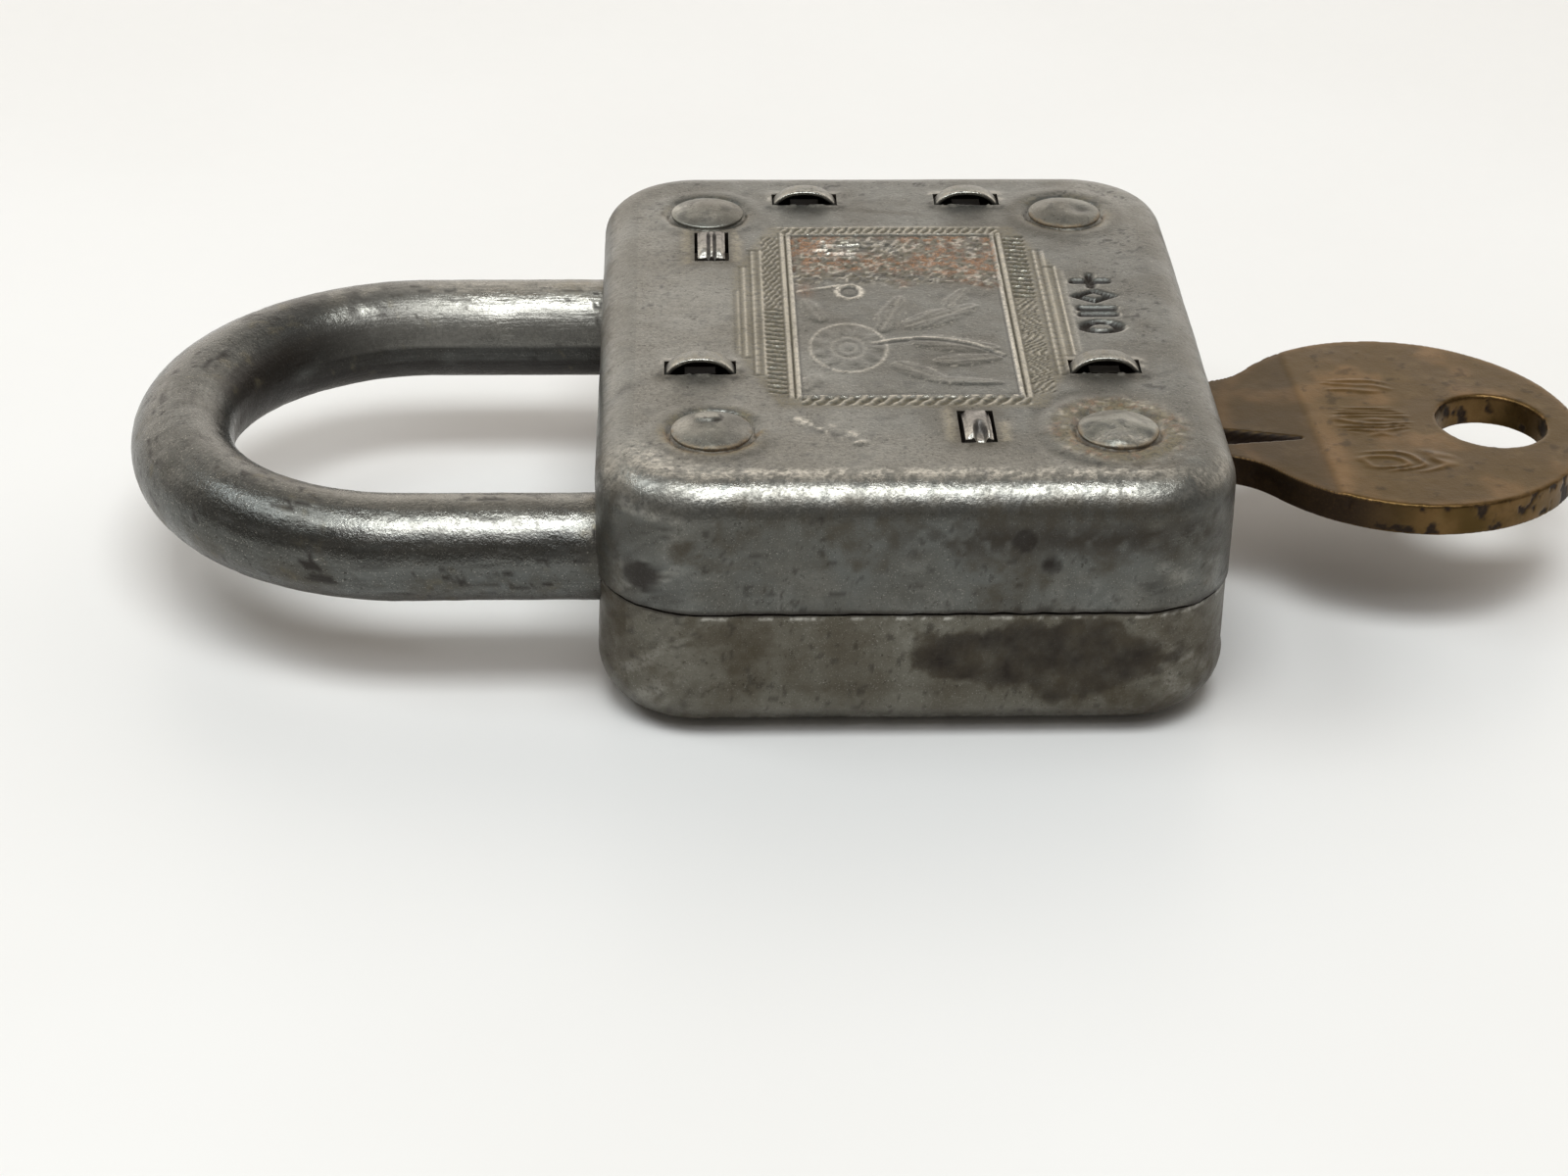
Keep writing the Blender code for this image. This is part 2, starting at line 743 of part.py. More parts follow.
def main():
    clear_scene()
    parts = new_collection("padlock")
    cutters = new_collection("cutters")

    plated = material("plated_steel", (0.42, 0.40, 0.36), 0.38, 1.0)
    plated_dark = material("plated_steel_back", (0.36, 0.34, 0.30), 0.42, 1.0)
    bright = material("shackle_steel", (0.50, 0.48, 0.44), 0.32, 1.0)
    rivet_steel = material("rivet_steel", (0.45, 0.40, 0.33), 0.45, 1.0)
    stake_steel = material("anchor_steel", (0.40, 0.39, 0.37), 0.45, 1.0)
    inner_steel = material("inner_steel", (0.30, 0.29, 0.28), 0.55, 1.0)
    spring_steel = material("spring_steel", (0.22, 0.24, 0.28), 0.35, 1.0)
    key_brass = material("key_brass", (0.42, 0.33, 0.18), 0.42, 1.0)
    plug_brass = material("plug_brass", (0.48, 0.36, 0.16), 0.45, 1.0)

    shared = leg_cutters(cutters) + plug_cutters(cutters)
    smooth(make_back_shell(parts, cutters, plated_dark, shared))
    smooth(make_front_shell(parts, cutters, plated, shared))
    make_rivets(parts, rivet_steel)

    heel = (-RIVET_X, RIVET_Y)
    leg_top = LEG_Z + WIRE_R
    leg_bottom = LEG_Z - WIRE_R
    in_r = RIVET_HOLE_R + 0.02 * MM
    high = FACE_IN - 0.2 * MM
    make_sleeve("heel_washer_front", heel, in_r, 2.7 * MM, leg_top + 0.25 * MM, high, parts, inner_steel)
    make_sleeve("heel_washer_back", heel, in_r, 2.7 * MM, 1.4 * MM, leg_bottom - 0.25 * MM, parts, inner_steel)
    for name, side in (("sleeve_key_far", 1), ("sleeve_key_near", -1)):
        centre = (RIVET_X, side * RIVET_Y)
        make_sleeve(name, centre, in_r, 2.2 * MM, CARRIER_Z[1] + 0.2 * MM, high, parts, inner_steel)

    make_shackle(parts, cutters, bright)
    make_key(parts, cutters, key_brass)
    make_plug(parts, cutters, plug_brass)

    make_ward("plug_retainer", RETAINER_X, RETAINER_HOLE_R, False, parts, cutters, inner_steel)
    for i, x in enumerate(WARD_XS):
        make_ward(f"ward_plate_{i + 1}", x, WARD_HOLE_R, True, parts, cutters, inner_steel)
    make_carrier(parts, cutters, inner_steel)

    make_anchor(
        "lock_spring_anchor", LOCK_WINDOW, (1.3 * MM, -17.4 * MM), (5.8 * MM, -11.7 * MM),
        LEAF_Z + LEAF_T + 0.15 * MM, parts, cutters, stake_steel,
    )
    make_anchor(
        "kick_spring_anchor", KICK_WINDOW, (-13.2 * MM, 6.7 * MM), (-9.3 * MM, 12.1 * MM),
        12.5 * MM, parts, cutters, stake_steel,
    )
    make_lock_spring(parts, cutters, spring_steel)
    make_kick_spring(parts, cutters, spring_steel)
    make_strap(
        "face_strap_near", (-14.0 * MM, 13.4 * MM), (-9.0 * MM, -5.4 * MM), BRIDGES[2:],
        parts, cutters, inner_steel,
    )
    make_strap(
        "face_strap_far", (-7.8 * MM, 7.8 * MM), (15.1 * MM, 19.1 * MM), BRIDGES[:2],
        parts, cutters, inner_steel,
    )


main()
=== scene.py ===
import json
import math

import bmesh
import bpy
import numpy as np
from mathutils import Matrix, Vector

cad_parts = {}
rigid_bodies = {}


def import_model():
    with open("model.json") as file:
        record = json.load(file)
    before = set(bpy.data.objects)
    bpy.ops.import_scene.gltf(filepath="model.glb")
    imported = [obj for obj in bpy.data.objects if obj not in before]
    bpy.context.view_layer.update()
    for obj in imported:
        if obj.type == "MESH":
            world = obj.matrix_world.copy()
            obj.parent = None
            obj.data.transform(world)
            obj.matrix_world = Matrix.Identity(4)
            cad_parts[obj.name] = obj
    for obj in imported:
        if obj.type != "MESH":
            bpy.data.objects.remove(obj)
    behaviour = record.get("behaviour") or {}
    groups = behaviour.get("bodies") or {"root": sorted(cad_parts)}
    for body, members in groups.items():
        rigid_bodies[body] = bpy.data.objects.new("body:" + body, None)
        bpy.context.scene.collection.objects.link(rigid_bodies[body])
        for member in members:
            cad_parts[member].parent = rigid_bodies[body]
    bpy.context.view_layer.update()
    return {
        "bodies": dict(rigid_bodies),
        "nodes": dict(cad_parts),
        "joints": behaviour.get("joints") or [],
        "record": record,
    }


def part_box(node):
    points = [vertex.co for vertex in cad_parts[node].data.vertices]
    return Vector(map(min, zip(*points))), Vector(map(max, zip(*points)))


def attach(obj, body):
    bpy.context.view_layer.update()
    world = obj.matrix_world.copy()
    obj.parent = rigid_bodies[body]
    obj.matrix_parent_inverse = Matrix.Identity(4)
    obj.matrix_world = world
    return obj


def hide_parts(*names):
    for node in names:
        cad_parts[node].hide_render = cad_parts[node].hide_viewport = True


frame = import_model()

MM = 0.001

# Sizes in millimetres, as the CAD has them.
HALF_X = 18.1
HALF_Y = 22.25
TOP = 15.9
CORNER_R = 5.9
FRONT_R = 2.2
BACK_R = 3.0
SPLIT_FRONT = 8.23
SPLIT_BACK = 8.04
SHEET = 1.2
RIVETS = {
    "rivet_heel": (-11.5, 15.0),
    "rivet_toe": (-11.5, -15.0),
    "rivet_key_far": (11.5, 15.0),
    "rivet_key_near": (11.5, -15.0),
}
BRIDGES = ((-5.2, 17.1), (5.3, 17.1), (-12.1, -7.15), (11.6, -7.15))
BRIDGE_HALF = (2.1, 0.95)
KICK_WINDOW = (-12.35, 7.8, -10.2, 12.0)
LOCK_WINDOW = (2.5, -16.5, 4.55, -12.6)
WIRE_R = 3.115
LEG_Y = 14.4
LEG_Z = 8.15
CROWN_X = -29.2
KEY_Z = 7.95

FACE_STEP = 0.14
KEY_VOXEL = 0.13

# Masks of the rims that are cut into a skin, which face into the case: painted shade, fully dark
# with a half-strength brown dirt tint, for the dark inside of each opening.
RIM_MASKS = {"bright": 0.0, "dark": 1.0, "grime_and_shade": 0.5, "rust": 0.0, "ochre": 0.0}

# Larger than any vertex number, so that two of them pack into one code.
EDGE_CODE = 10_000_019


# ------------------------------------------------------------------ numbers


def lattice(ix, iy, iz, seed):
    """Repeatable value from 0 to 1 for each whole-number cell corner."""
    n = (ix * 374761393 + iy * 668265263 + iz * 1274126177 + seed * 974634777) & 0xFFFFFFFF
    n = ((n ^ (n >> 13)) * 1274126177) & 0xFFFFFFFF
    n = n ^ (n >> 16)
    return (n & 0xFFFFFF) / float(0xFFFFFF)


def value_noise(p, seed):
    """Smooth noise from 0 to 1 at each point, with cells one unit wide."""
    cell = np.floor(p).astype(np.int64)
    t = p - cell
    t = t * t * (3.0 - 2.0 * t)
    out = np.zeros(len(p))
    for dx in (0, 1):
        wx = t[:, 0] if dx else 1.0 - t[:, 0]
        for dy in (0, 1):
            wy = t[:, 1] if dy else 1.0 - t[:, 1]
            for dz in (0, 1):
                wz = t[:, 2] if dz else 1.0 - t[:, 2]
                corner = lattice(cell[:, 0] + dx, cell[:, 1] + dy, cell[:, 2] + dz, seed)
                out += wx * wy * wz * corner
    return out


def fbm(p, size, octaves=4, seed=1, gain=0.5):
    """Layered noise from about -1 to 1 for points in mm, with features of a size in mm."""
    total = np.zeros(len(p))
    weight = 1.0
    norm = 0.0
    q = np.asarray(p, dtype=float) / size
    for octave in range(octaves):
        total += weight * (2.0 * value_noise(q, seed + 31 * octave) - 1.0)
        norm += weight
        weight *= gain
        q = q * 2.03 + 17.3
    return total / norm * 1.6


def smoothstep(low, high, x):
    """0 at low and 1 at high with soft ends; low may be the larger."""
    t = np.clip((x - low) / (high - low), 0.0, 1.0)
    return t * t * (3.0 - 2.0 * t)


def bump(d, width):
    """1 at d = 0, falling off over a width."""
    return np.exp(-((d / width) ** 2))


def lines_between(low, high, step, fixed=(), fine=None):
    """Grid lines a step apart through each fixed value, wider apart outside the fine spans."""
    spans = [edge for span in fine or () for edge in span]
    stops = sorted({low, high, *[f for f in (*fixed, *spans) if low < f < high]})
    out = []
    for a, b in zip(stops, stops[1:]):
        middle = (a + b) / 2
        close = fine is None or any(f0 < middle < f1 for f0, f1 in fine)
        count = max(1, int(math.ceil((b - a) / (step if close else step * 1.4))))
        out += [a + (b - a) * i / count for i in range(count)]
    return np.array(out + [high])


# ------------------------------------------------------------------ mesh building


def make_object(name, verts, faces, mats, masks=None, slots=None):
    """Mesh object from vertices in mm, with optional point masks for the materials."""
    mesh = bpy.data.meshes.new(name)
    verts = np.asarray(verts, dtype=float)
    mesh.from_pydata((verts * MM).tolist(), [], [list(map(int, f)) for f in faces])
    mesh.update()
    obj = bpy.data.objects.new(name, mesh)
    bpy.context.scene.collection.objects.link(obj)
    for mat in mats if isinstance(mats, (list, tuple)) else [mats]:
        mesh.materials.append(mat)
    for key, values in (masks or {}).items():
        attribute = mesh.attributes.new(key, "FLOAT", "POINT")
        attribute.data.foreach_set("value", np.clip(values, 0.0, 1.0).astype(np.float32))
    if slots is not None:
        mesh.polygons.foreach_set("material_index", np.asarray(slots, dtype=np.int32))
    mesh.shade_smooth()
    return obj


def boundary_edges(faces):
    """Directed edges that only one quad uses."""
    ahead = np.roll(faces, -1, axis=1)
    directed = np.column_stack([faces.ravel(), ahead.ravel()])
    directed = directed[directed[:, 0] != directed[:, 1]]
    key = np.sort(directed, axis=1)
    code = key[:, 0].astype(np.int64) * EDGE_CODE + key[:, 1]
    _, place, count = np.unique(code, return_index=True, return_counts=True)
    return directed[np.sort(place[count == 1])]


class Skin:
    """A growing skin of quads, with openings cut to crisp rims."""

    def __init__(self):
        self.verts = np.zeros((0, 3))
        self.faces = np.zeros((0, 4), dtype=np.int64)
        self.caps = []

    def add_grid(self, points, close=False, flip=False):
        """Add a (rows, cols, 3) array of points as quads and return its vertex numbers."""
        rows, cols, _ = points.shape
        start = len(self.verts)
        self.verts = np.vstack([self.verts, points.reshape(-1, 3)])
        index = start + np.arange(rows * cols).reshape(rows, cols)
        here = index if close else index[:, :-1]
        ahead = np.roll(index, -1, axis=1) if close else index[:, 1:]
        quads = np.stack([here[:-1], ahead[:-1], ahead[1:], here[1:]], axis=-1).reshape(-1, 4)
        self.faces = np.vstack([self.faces, quads[:, ::-1] if flip else quads])
        return index

    def all_faces(self):
        return [list(f) for f in self.faces.tolist()] + self.caps

    def cut(self, inside, direction, depth, reach=0.5):
        """Open the skin where inside(points) is negative and give the edge a rim."""
        gone = inside(self.verts[self.faces].mean(axis=1)) < 0.0
        if not gone.any():
            return
        kept = self.faces[~gone]
        old = boundary_edges(self.faces)
        fresh = boundary_edges(kept)
        known = np.isin(fresh[:, 0] * EDGE_CODE + fresh[:, 1], old[:, 0] * EDGE_CODE + old[:, 1])
        fresh = fresh[~known]
        rim = np.unique(fresh)
        step = 0.01
        p = self.verts[rim]
        for _ in range(3):
            d0 = inside(p)
            grad = np.column_stack([(inside(p + step * axis) - d0) / step for axis in np.eye(3)])
            grad -= np.outer(grad @ direction, direction)
            size = (grad * grad).sum(axis=1)
            go = (np.abs(d0) < reach) & (size > 1e-6) & (size < 30.0)
            p = p - np.where(go, d0 / np.maximum(size, 1e-6), 0.0)[:, None] * grad
        self.verts[rim] = p
        start = len(self.verts)
        self.verts = np.vstack([self.verts, p, p + direction * depth])
        a = np.searchsorted(rim, fresh[:, 0]) + start
        b = np.searchsorted(rim, fresh[:, 1]) + start
        count = len(rim)
        self.faces = np.vstack([kept, np.column_stack([b, a, a + count, b + count])])


def half_width(y, hx, hy, r):
    """Half width of a rounded rectangle at a height y."""
    over = np.clip(np.abs(y) - (hy - r), 0.0, r)
    return hx - r + np.sqrt(np.maximum(r * r - over * over, 0.0))


def face_grid(step, fixed_x, fixed_y, hx, hy, r):
    """Grid over a rounded rectangle: straight lines inside, drawn in round the corners."""
    xs = lines_between(-hx, hx, step, (-(hx - r), hx - r, *fixed_x), ((-10.3, 10.3), (10.8, 13.3)))
    core = lines_between(-(hy - r), hy - r, step, fixed_y, ((-12.1, 12.9),))
    turn = np.radians(np.linspace(0.0, 90.0, 15)[1:])
    tip = hy - r + r * np.sin(turn)
    ys = np.concatenate([-tip[::-1], core, tip])
    extra = [f for f in fixed_y if abs(f) > hy - r]
    ys = np.array(sorted({*np.round(ys, 6), *extra}))
    fine = []
    for a, b in zip(ys, ys[1:]):
        count = max(1, int(math.ceil((b - a) / (step * 1.45))))
        fine += [a + (b - a) * i / count for i in range(count)]
    ys = np.array(fine + [ys[-1]])
    width = half_width(ys, hx, hy, r)
    flat = hx - r
    grid_x = np.tile(xs, (len(ys), 1))
    beyond = np.abs(grid_x) > flat
    share = (np.abs(grid_x) - flat) / r
    drawn = np.sign(grid_x) * (flat + share * (width[:, None] - flat))
    grid_x = np.where(beyond, drawn, grid_x)
    grid_y = np.tile(ys[:, None], (1, len(xs)))
    return grid_x, grid_y


def grid_rim(grid_x, grid_y, hx, hy, r):
    """Closed loop of (row, column) pairs round a face grid, with outward directions."""
    rows, cols = grid_x.shape
    flat = hx - r + 1e-6
    loop = []
    for c in range(cols):
        if abs(grid_x[0, c]) <= flat and (not loop or grid_x[0, c] > grid_x[loop[-1]] + 1e-6):
            loop.append((0, c))
    for row in range(1, rows - 1):
        loop.append((row, cols - 1))
    top = []
    for c in range(cols):
        if abs(grid_x[-1, c]) <= flat and (not top or grid_x[-1, c] > grid_x[top[-1]] + 1e-6):
            top.append((rows - 1, c))
    loop += top[::-1]
    for row in range(rows - 2, 0, -1):
        loop.append((row, 0))
    normals = []
    for row, c in loop:
        x, y = grid_x[row, c], grid_y[row, c]
        n = np.array([max(abs(x) - (hx - r), 0.0), max(abs(y) - (hy - r), 0.0)])
        if n.max() < 1e-9:
            n = np.array([1.0, 0.0])
        n = n / np.linalg.norm(n)
        normals.append((n[0] * np.sign(x), n[1] * np.sign(y)))
    return loop, np.array(normals)


# ------------------------------------------------------------------ face relief


def stroke_set(x, y, box, angle, pitch, width, wobble=0.0, phase=0.0):
    """Engraved parallel strokes inside a box, at an angle in degrees from +X."""
    x0, y0, x1, y1 = box
    a = math.radians(angle)
    across = -x * math.sin(a) + y * math.cos(a) + phase
    if wobble:
        across = across + wobble * np.sin(7.1 * x + 3.3 * y)
    d = (across / pitch - np.round(across / pitch)) * pitch
    soft = 0.08
    inside = (
        smoothstep(x0 - soft, x0 + soft, x)
        * (1.0 - smoothstep(x1 - soft, x1 + soft, x))
        * smoothstep(y0 - soft, y0 + soft, y)
        * (1.0 - smoothstep(y1 - soft, y1 + soft, y))
    )
    return inside * bump(d, width)


def line_mark(x, y, p0, p1, width):
    """Soft straight mark between two points."""
    a = np.array(p0, dtype=float)
    b = np.array(p1, dtype=float)
    ab = b - a
    t = np.clip(((x - a[0]) * ab[0] + (y - a[1]) * ab[1]) / (ab @ ab), 0.0, 1.0)
    d = np.hypot(x - a[0] - t * ab[0], y - a[1] - t * ab[1])
    return bump(d, width)


def ring_mark(x, y, centre, radii, width, start=0.0, sweep=360.0):
    """Soft elliptical ring, or part of one."""
    u = (x - centre[0]) / radii[0]
    v = (y - centre[1]) / radii[1]
    rho = np.hypot(u, v)
    d = (rho - 1.0) * min(radii)
    angle = (np.degrees(np.arctan2(v, u)) - start) % 360.0
    on = 1.0 - smoothstep(sweep - 8.0, sweep, angle) if sweep < 360.0 else 1.0
    return bump(d, width) * on


def leaf(x, y, base, angle, length, width):
    """Height from 0 to 1 of a pointed leaf, and its vein lines."""
    a = math.radians(angle)
    u = ((x - base[0]) * math.cos(a) + (y - base[1]) * math.sin(a)) / length
    v = (-(x - base[0]) * math.sin(a) + (y - base[1]) * math.cos(a)) / width
    half = np.sqrt(np.clip(u * (1.0 - u) * 4.0, 0.0, 1.0)) * (1.0 - 0.35 * u)
    body = np.clip(1.0 - (np.abs(v) / np.maximum(half, 1e-3)) ** 2, 0.0, 1.0) * (u > 0) * (u < 1)
    bend = v + 0.12 * np.sin(9.0 * u)
    veins = bump(v, 0.09) + 0.7 * bump((bend * 2.6) % 1.0 - 0.5, 0.17)
    return np.sqrt(body), veins * (body > 0.02)


def panel_relief(x, y):
    """Engraved frame and a leafy sprig. Returns height in mm, bright and dark masks, and the panel
    and border masks.
    """
    cut = np.zeros_like(x)
    burr = np.zeros_like(x)

    def groove(mark, depth):
        nonlocal cut
        cut = np.maximum(cut, mark * depth)

    def ridge(mark, height):
        nonlocal burr
        burr = np.maximum(burr, mark * height)

    # Upright double lines and the far and near borders.
    for x0 in (-6.62, 6.72):
        for side in (-0.2, 0.2):
            ridge(line_mark(x, y, (x0 + side, -10.9), (x0 + side, 11.9), 0.085), 0.07)
        groove(line_mark(x, y, (x0, -10.9), (x0, 11.9), 0.09), 0.10)
        for side in (-0.42, 0.42):
            groove(line_mark(x, y, (x0 + side, -10.9), (x0 + side, 11.9), 0.08), 0.05)
    ridge(line_mark(x, y, (-6.8, 11.75), (6.9, 11.75), 0.10), 0.06)
    groove(line_mark(x, y, (-6.8, 11.52), (6.9, 11.52), 0.08), 0.06)
    ridge(line_mark(x, y, (-7.0, 12.75), (7.0, 12.75), 0.10), 0.05)
    rope = stroke_set(x, y, (-6.9, 11.9, 6.9, 12.7), 62, 0.46, 0.11, 0.05)
    groove(rope, 0.07)
    ridge(stroke_set(x, y, (-6.9, 11.9, 6.9, 12.7), 62, 0.46, 0.08, 0.05, 0.22), 0.04)
    ridge(line_mark(x, y, (-6.4, -10.75), (6.6, -10.75), 0.12), 0.08)
    groove(line_mark(x, y, (-6.3, -10.5), (6.5, -10.5), 0.08), 0.06)
    near_box = (-6.3, -11.85, 6.9, -10.9)
    groove(stroke_set(x, y, near_box, 52, 0.62, 0.14, 0.04), 0.09)
    ridge(stroke_set(x, y, near_box, 52, 0.62, 0.09, 0.04, 0.30), 0.05)

    # Hatched side bands, upper and lower halves cut at different slants.
    left_top = (-8.15, 1.0, -7.1, 11.3)
    left_low = (-8.15, -10.4, -7.1, 0.9)
    groove(stroke_set(x, y, left_top, 66, 0.34, 0.09, 0.04), 0.08)
    ridge(stroke_set(x, y, left_top, 66, 0.34, 0.06, 0.04, 0.17), 0.03)
    groove(stroke_set(x, y, left_low, -14, 0.56, 0.13, 0.04), 0.08)
    ridge(stroke_set(x, y, left_low, -14, 0.56, 0.09, 0.04, 0.27), 0.06)
    right_top = (7.2, 2.4, 8.45, 11.4)
    right_low = (7.2, -10.4, 8.45, 2.2)
    groove(stroke_set(x, y, right_top, -12, 0.58, 0.15, 0.03), 0.11)
    ridge(stroke_set(x, y, right_top, -12, 0.58, 0.09, 0.03, 0.28), 0.06)
    fold = np.abs(((y + 30.0) / 1.5 + 0.15 * np.sin(3.0 * y)) % 1.0 - 0.5) * 1.1
    zig = bump(((x - 7.35) * 0.9 - fold * 1.6) % 0.42 - 0.21, 0.08)
    in_low = stroke_set(x, y, right_low, 0, 99.0, 60.0)
    groove(zig * in_low, 0.07)
    ridge(bump(((x - 7.2) * 0.9 - fold * 1.6) % 0.42 - 0.21, 0.06) * in_low, 0.04)

    # Stepped outer lines.
    for x0, y0, y1, deep in (
        (-8.45, -8.0, 9.3, 0.05), (-8.95, -7.8, 9.2, 0.06), (-9.55, -5.6, 6.9, 0.05),
        (-9.95, -5.2, 3.4, 0.03), (8.75, -8.1, 9.3, 0.07), (9.25, -7.6, 9.1, 0.06),
        (9.85, -5.5, 6.8, 0.06), (10.2, -4.9, 6.2, 0.03),
    ):
        groove(line_mark(x, y, (x0, y0), (x0, y1), 0.085), deep)
        ridge(line_mark(x, y, (x0 + 0.2, y0), (x0 + 0.2, y1), 0.08), deep * 0.6)
    for x0, x1, y0 in (
        (-9.0, -8.4, 9.3), (-9.6, -8.9, 6.9), (-9.0, -8.3, -8.0), (-9.6, -8.9, -5.7),
        (8.7, 9.3, 9.3), (9.2, 9.9, 6.8), (8.7, 9.3, -8.1), (9.2, 9.9, -5.6),
    ):
        groove(line_mark(x, y, (x0, y0), (x1, y0), 0.09), 0.05)
    groove(stroke_set(x, y, (-8.85, -7.6, -8.5, 9.0), 20, 0.7, 0.08, 0.05), 0.03)
    groove(stroke_set(x, y, (8.85, -7.6, 9.15, 9.0), -20, 0.7, 0.08, 0.05), 0.04)

    # Generic sprig inside the frame: a round flower head, a stem and paired leaves.
    relief = np.zeros_like(x)
    veins = np.zeros_like(x)
    head = (-3.3, -4.4)
    rho = np.hypot((x - head[0]) / 2.35, (y - head[1]) / 3.3)
    theta = np.arctan2((y - head[1]) / 3.3, (x - head[0]) / 2.35)
    petals = np.clip(1.0 - (rho / (0.86 + 0.14 * np.cos(11.0 * theta))) ** 4, 0.0, 1.0)
    relief = np.maximum(relief, 0.07 * np.sqrt(petals))
    veins = np.maximum(
        veins, bump(np.sin(11.0 * theta + 2.4 * rho) * rho, 0.16) * petals * (rho > 0.42)
    )
    veins = np.maximum(veins, bump((rho - 0.42) * 2.4, 0.12))
    veins = np.maximum(veins, bump((rho - 0.2) * 2.4, 0.10) * 0.8)
    edge = bump((rho - 0.97) * 2.4, 0.10)
    ridge(edge, 0.02)
    for base, angle, length, width in (
        ((-1.2, -2.3), 74, 5.2, 1.05), ((0.2, -1.7), 34, 5.6, 1.25), ((0.4, -3.4), -12, 5.4, 1.2),
        ((-0.8, -6.4), -38, 4.2, 0.95), ((1.6, -6.3), 8, 4.2, 0.9), ((-4.7, -0.9), 108, 3.4, 0.8),
        ((2.8, 0.6), 64, 3.6, 0.8), ((-5.3, -7.9), 250, 2.3, 0.7), ((1.2, -8.6), -6, 4.4, 0.6),
    ):
        body, lines = leaf(x, y, base, angle, length, width)
        relief = np.maximum(relief, 0.085 * body)
        veins = np.maximum(veins, lines * 0.9)
        ridge(bump((body - 0.12) * 0.9, 0.12) * (body > 0), 0.018)
    groove(ring_mark(x, y, (1.0, -13.0), (7.6, 9.6), 0.11, 50, 66) * (y < 0.5), 0.06)
    ridge(ring_mark(x, y, (1.0, -13.0), (7.6, 9.9), 0.09, 50, 66) * (y < 0.5), 0.04)

    # Scroll and short rays above it.
    scroll = ring_mark(x, y, (-2.9, 3.3), (0.75, 0.95), 0.12)
    ridge(scroll, 0.08)
    groove(ring_mark(x, y, (-2.9, 3.3), (0.5, 0.6), 0.10), 0.05)
    ridge(line_mark(x, y, (-6.0, 3.4), (-3.5, 4.2), 0.11), 0.06)
    for i in range(5):
        y0 = 10.6 - 0.62 * i
        shift = 0.35 * (i % 2)
        ridge(line_mark(x, y, (-4.9 + shift, y0), (-2.2 + shift, y0 + 0.1), 0.13), 0.14)
        groove(line_mark(x, y, (-4.7 + shift, y0 - 0.25), (-2.5 + shift, y0 - 0.15), 0.09), 0.04)
    for i in range(4):
        x0 = -1.2 + 0.8 * i
        ridge(line_mark(x, y, (x0, 9.2), (x0 + 0.9, 10.9), 0.08), 0.05)
    in_panel = stroke_set(x, y, (-6.3, -10.4, 6.5, 11.5), 0, 999.0, 600.0)
    frame = np.maximum(np.abs(x - 0.1) - 6.3, np.abs(y - 0.4) / 1.72 - 6.4)
    steps = 10.3 - 0.35 * np.maximum(np.abs(y - 0.6) - 5.5, 0.0)
    border = smoothstep(0.0, 0.3, frame) * smoothstep(steps + 0.2, steps - 0.5, np.abs(x - 0.1))
    border *= smoothstep(12.9, 12.2, np.abs(y - 0.4))
    height = (relief - 0.04 * np.clip(veins, 0.0, 1.0)) * in_panel + burr - cut - 0.03 * in_panel
    bright = np.clip(burr / 0.035, 0.0, 1.0)
    bright = np.maximum(bright, 0.22 * np.clip(veins, 0.0, 1.0) * in_panel)
    dark = np.clip(cut / 0.06, 0.0, 1.0) * np.where(in_panel > 0.5, 0.6, 1.0)
    return height, bright, dark, in_panel, border


def stamped_marks(x, y):
    """Four plain punch marks in a row: a ring, a pair of bars, a diamond and a cross."""
    cut = np.zeros_like(x)
    u = (x - 12.05) / 1.06
    for k, kind in enumerate(("ring", "bars", "diamond", "cross")):
        v = (y - (-1.65 + 2.15 * k)) / 1.18
        if kind == "ring":
            mark = bump((np.hypot(u / 1.15, v / 0.62) - 0.85) * 0.8, 0.2)
        elif kind == "bars":
            mark = np.maximum(
                line_mark(u, v, (-0.95, 0.34), (0.95, 0.34), 0.21),
                line_mark(u, v, (-0.95, -0.34), (0.95, -0.34), 0.21),
            )
        elif kind == "diamond":
            mark = bump((np.abs(u) / 1.15 + np.abs(v) / 0.68 - 0.9) * 0.7, 0.18)
        else:
            mark = np.maximum(
                line_mark(u, v, (-1.0, 0.0), (1.0, 0.0), 0.22),
                line_mark(u, v, (0.0, -0.6), (0.0, 0.6), 0.22),
            )
        cut = np.maximum(cut, mark)
    return cut


def amount_of(name):
    """How strong the dirt ring and the painted crease shade round each rivet are."""
    return {"rivet_heel": 0.30, "rivet_toe": 0.9, "rivet_key_far": 0.55}.get(name, 1.0)


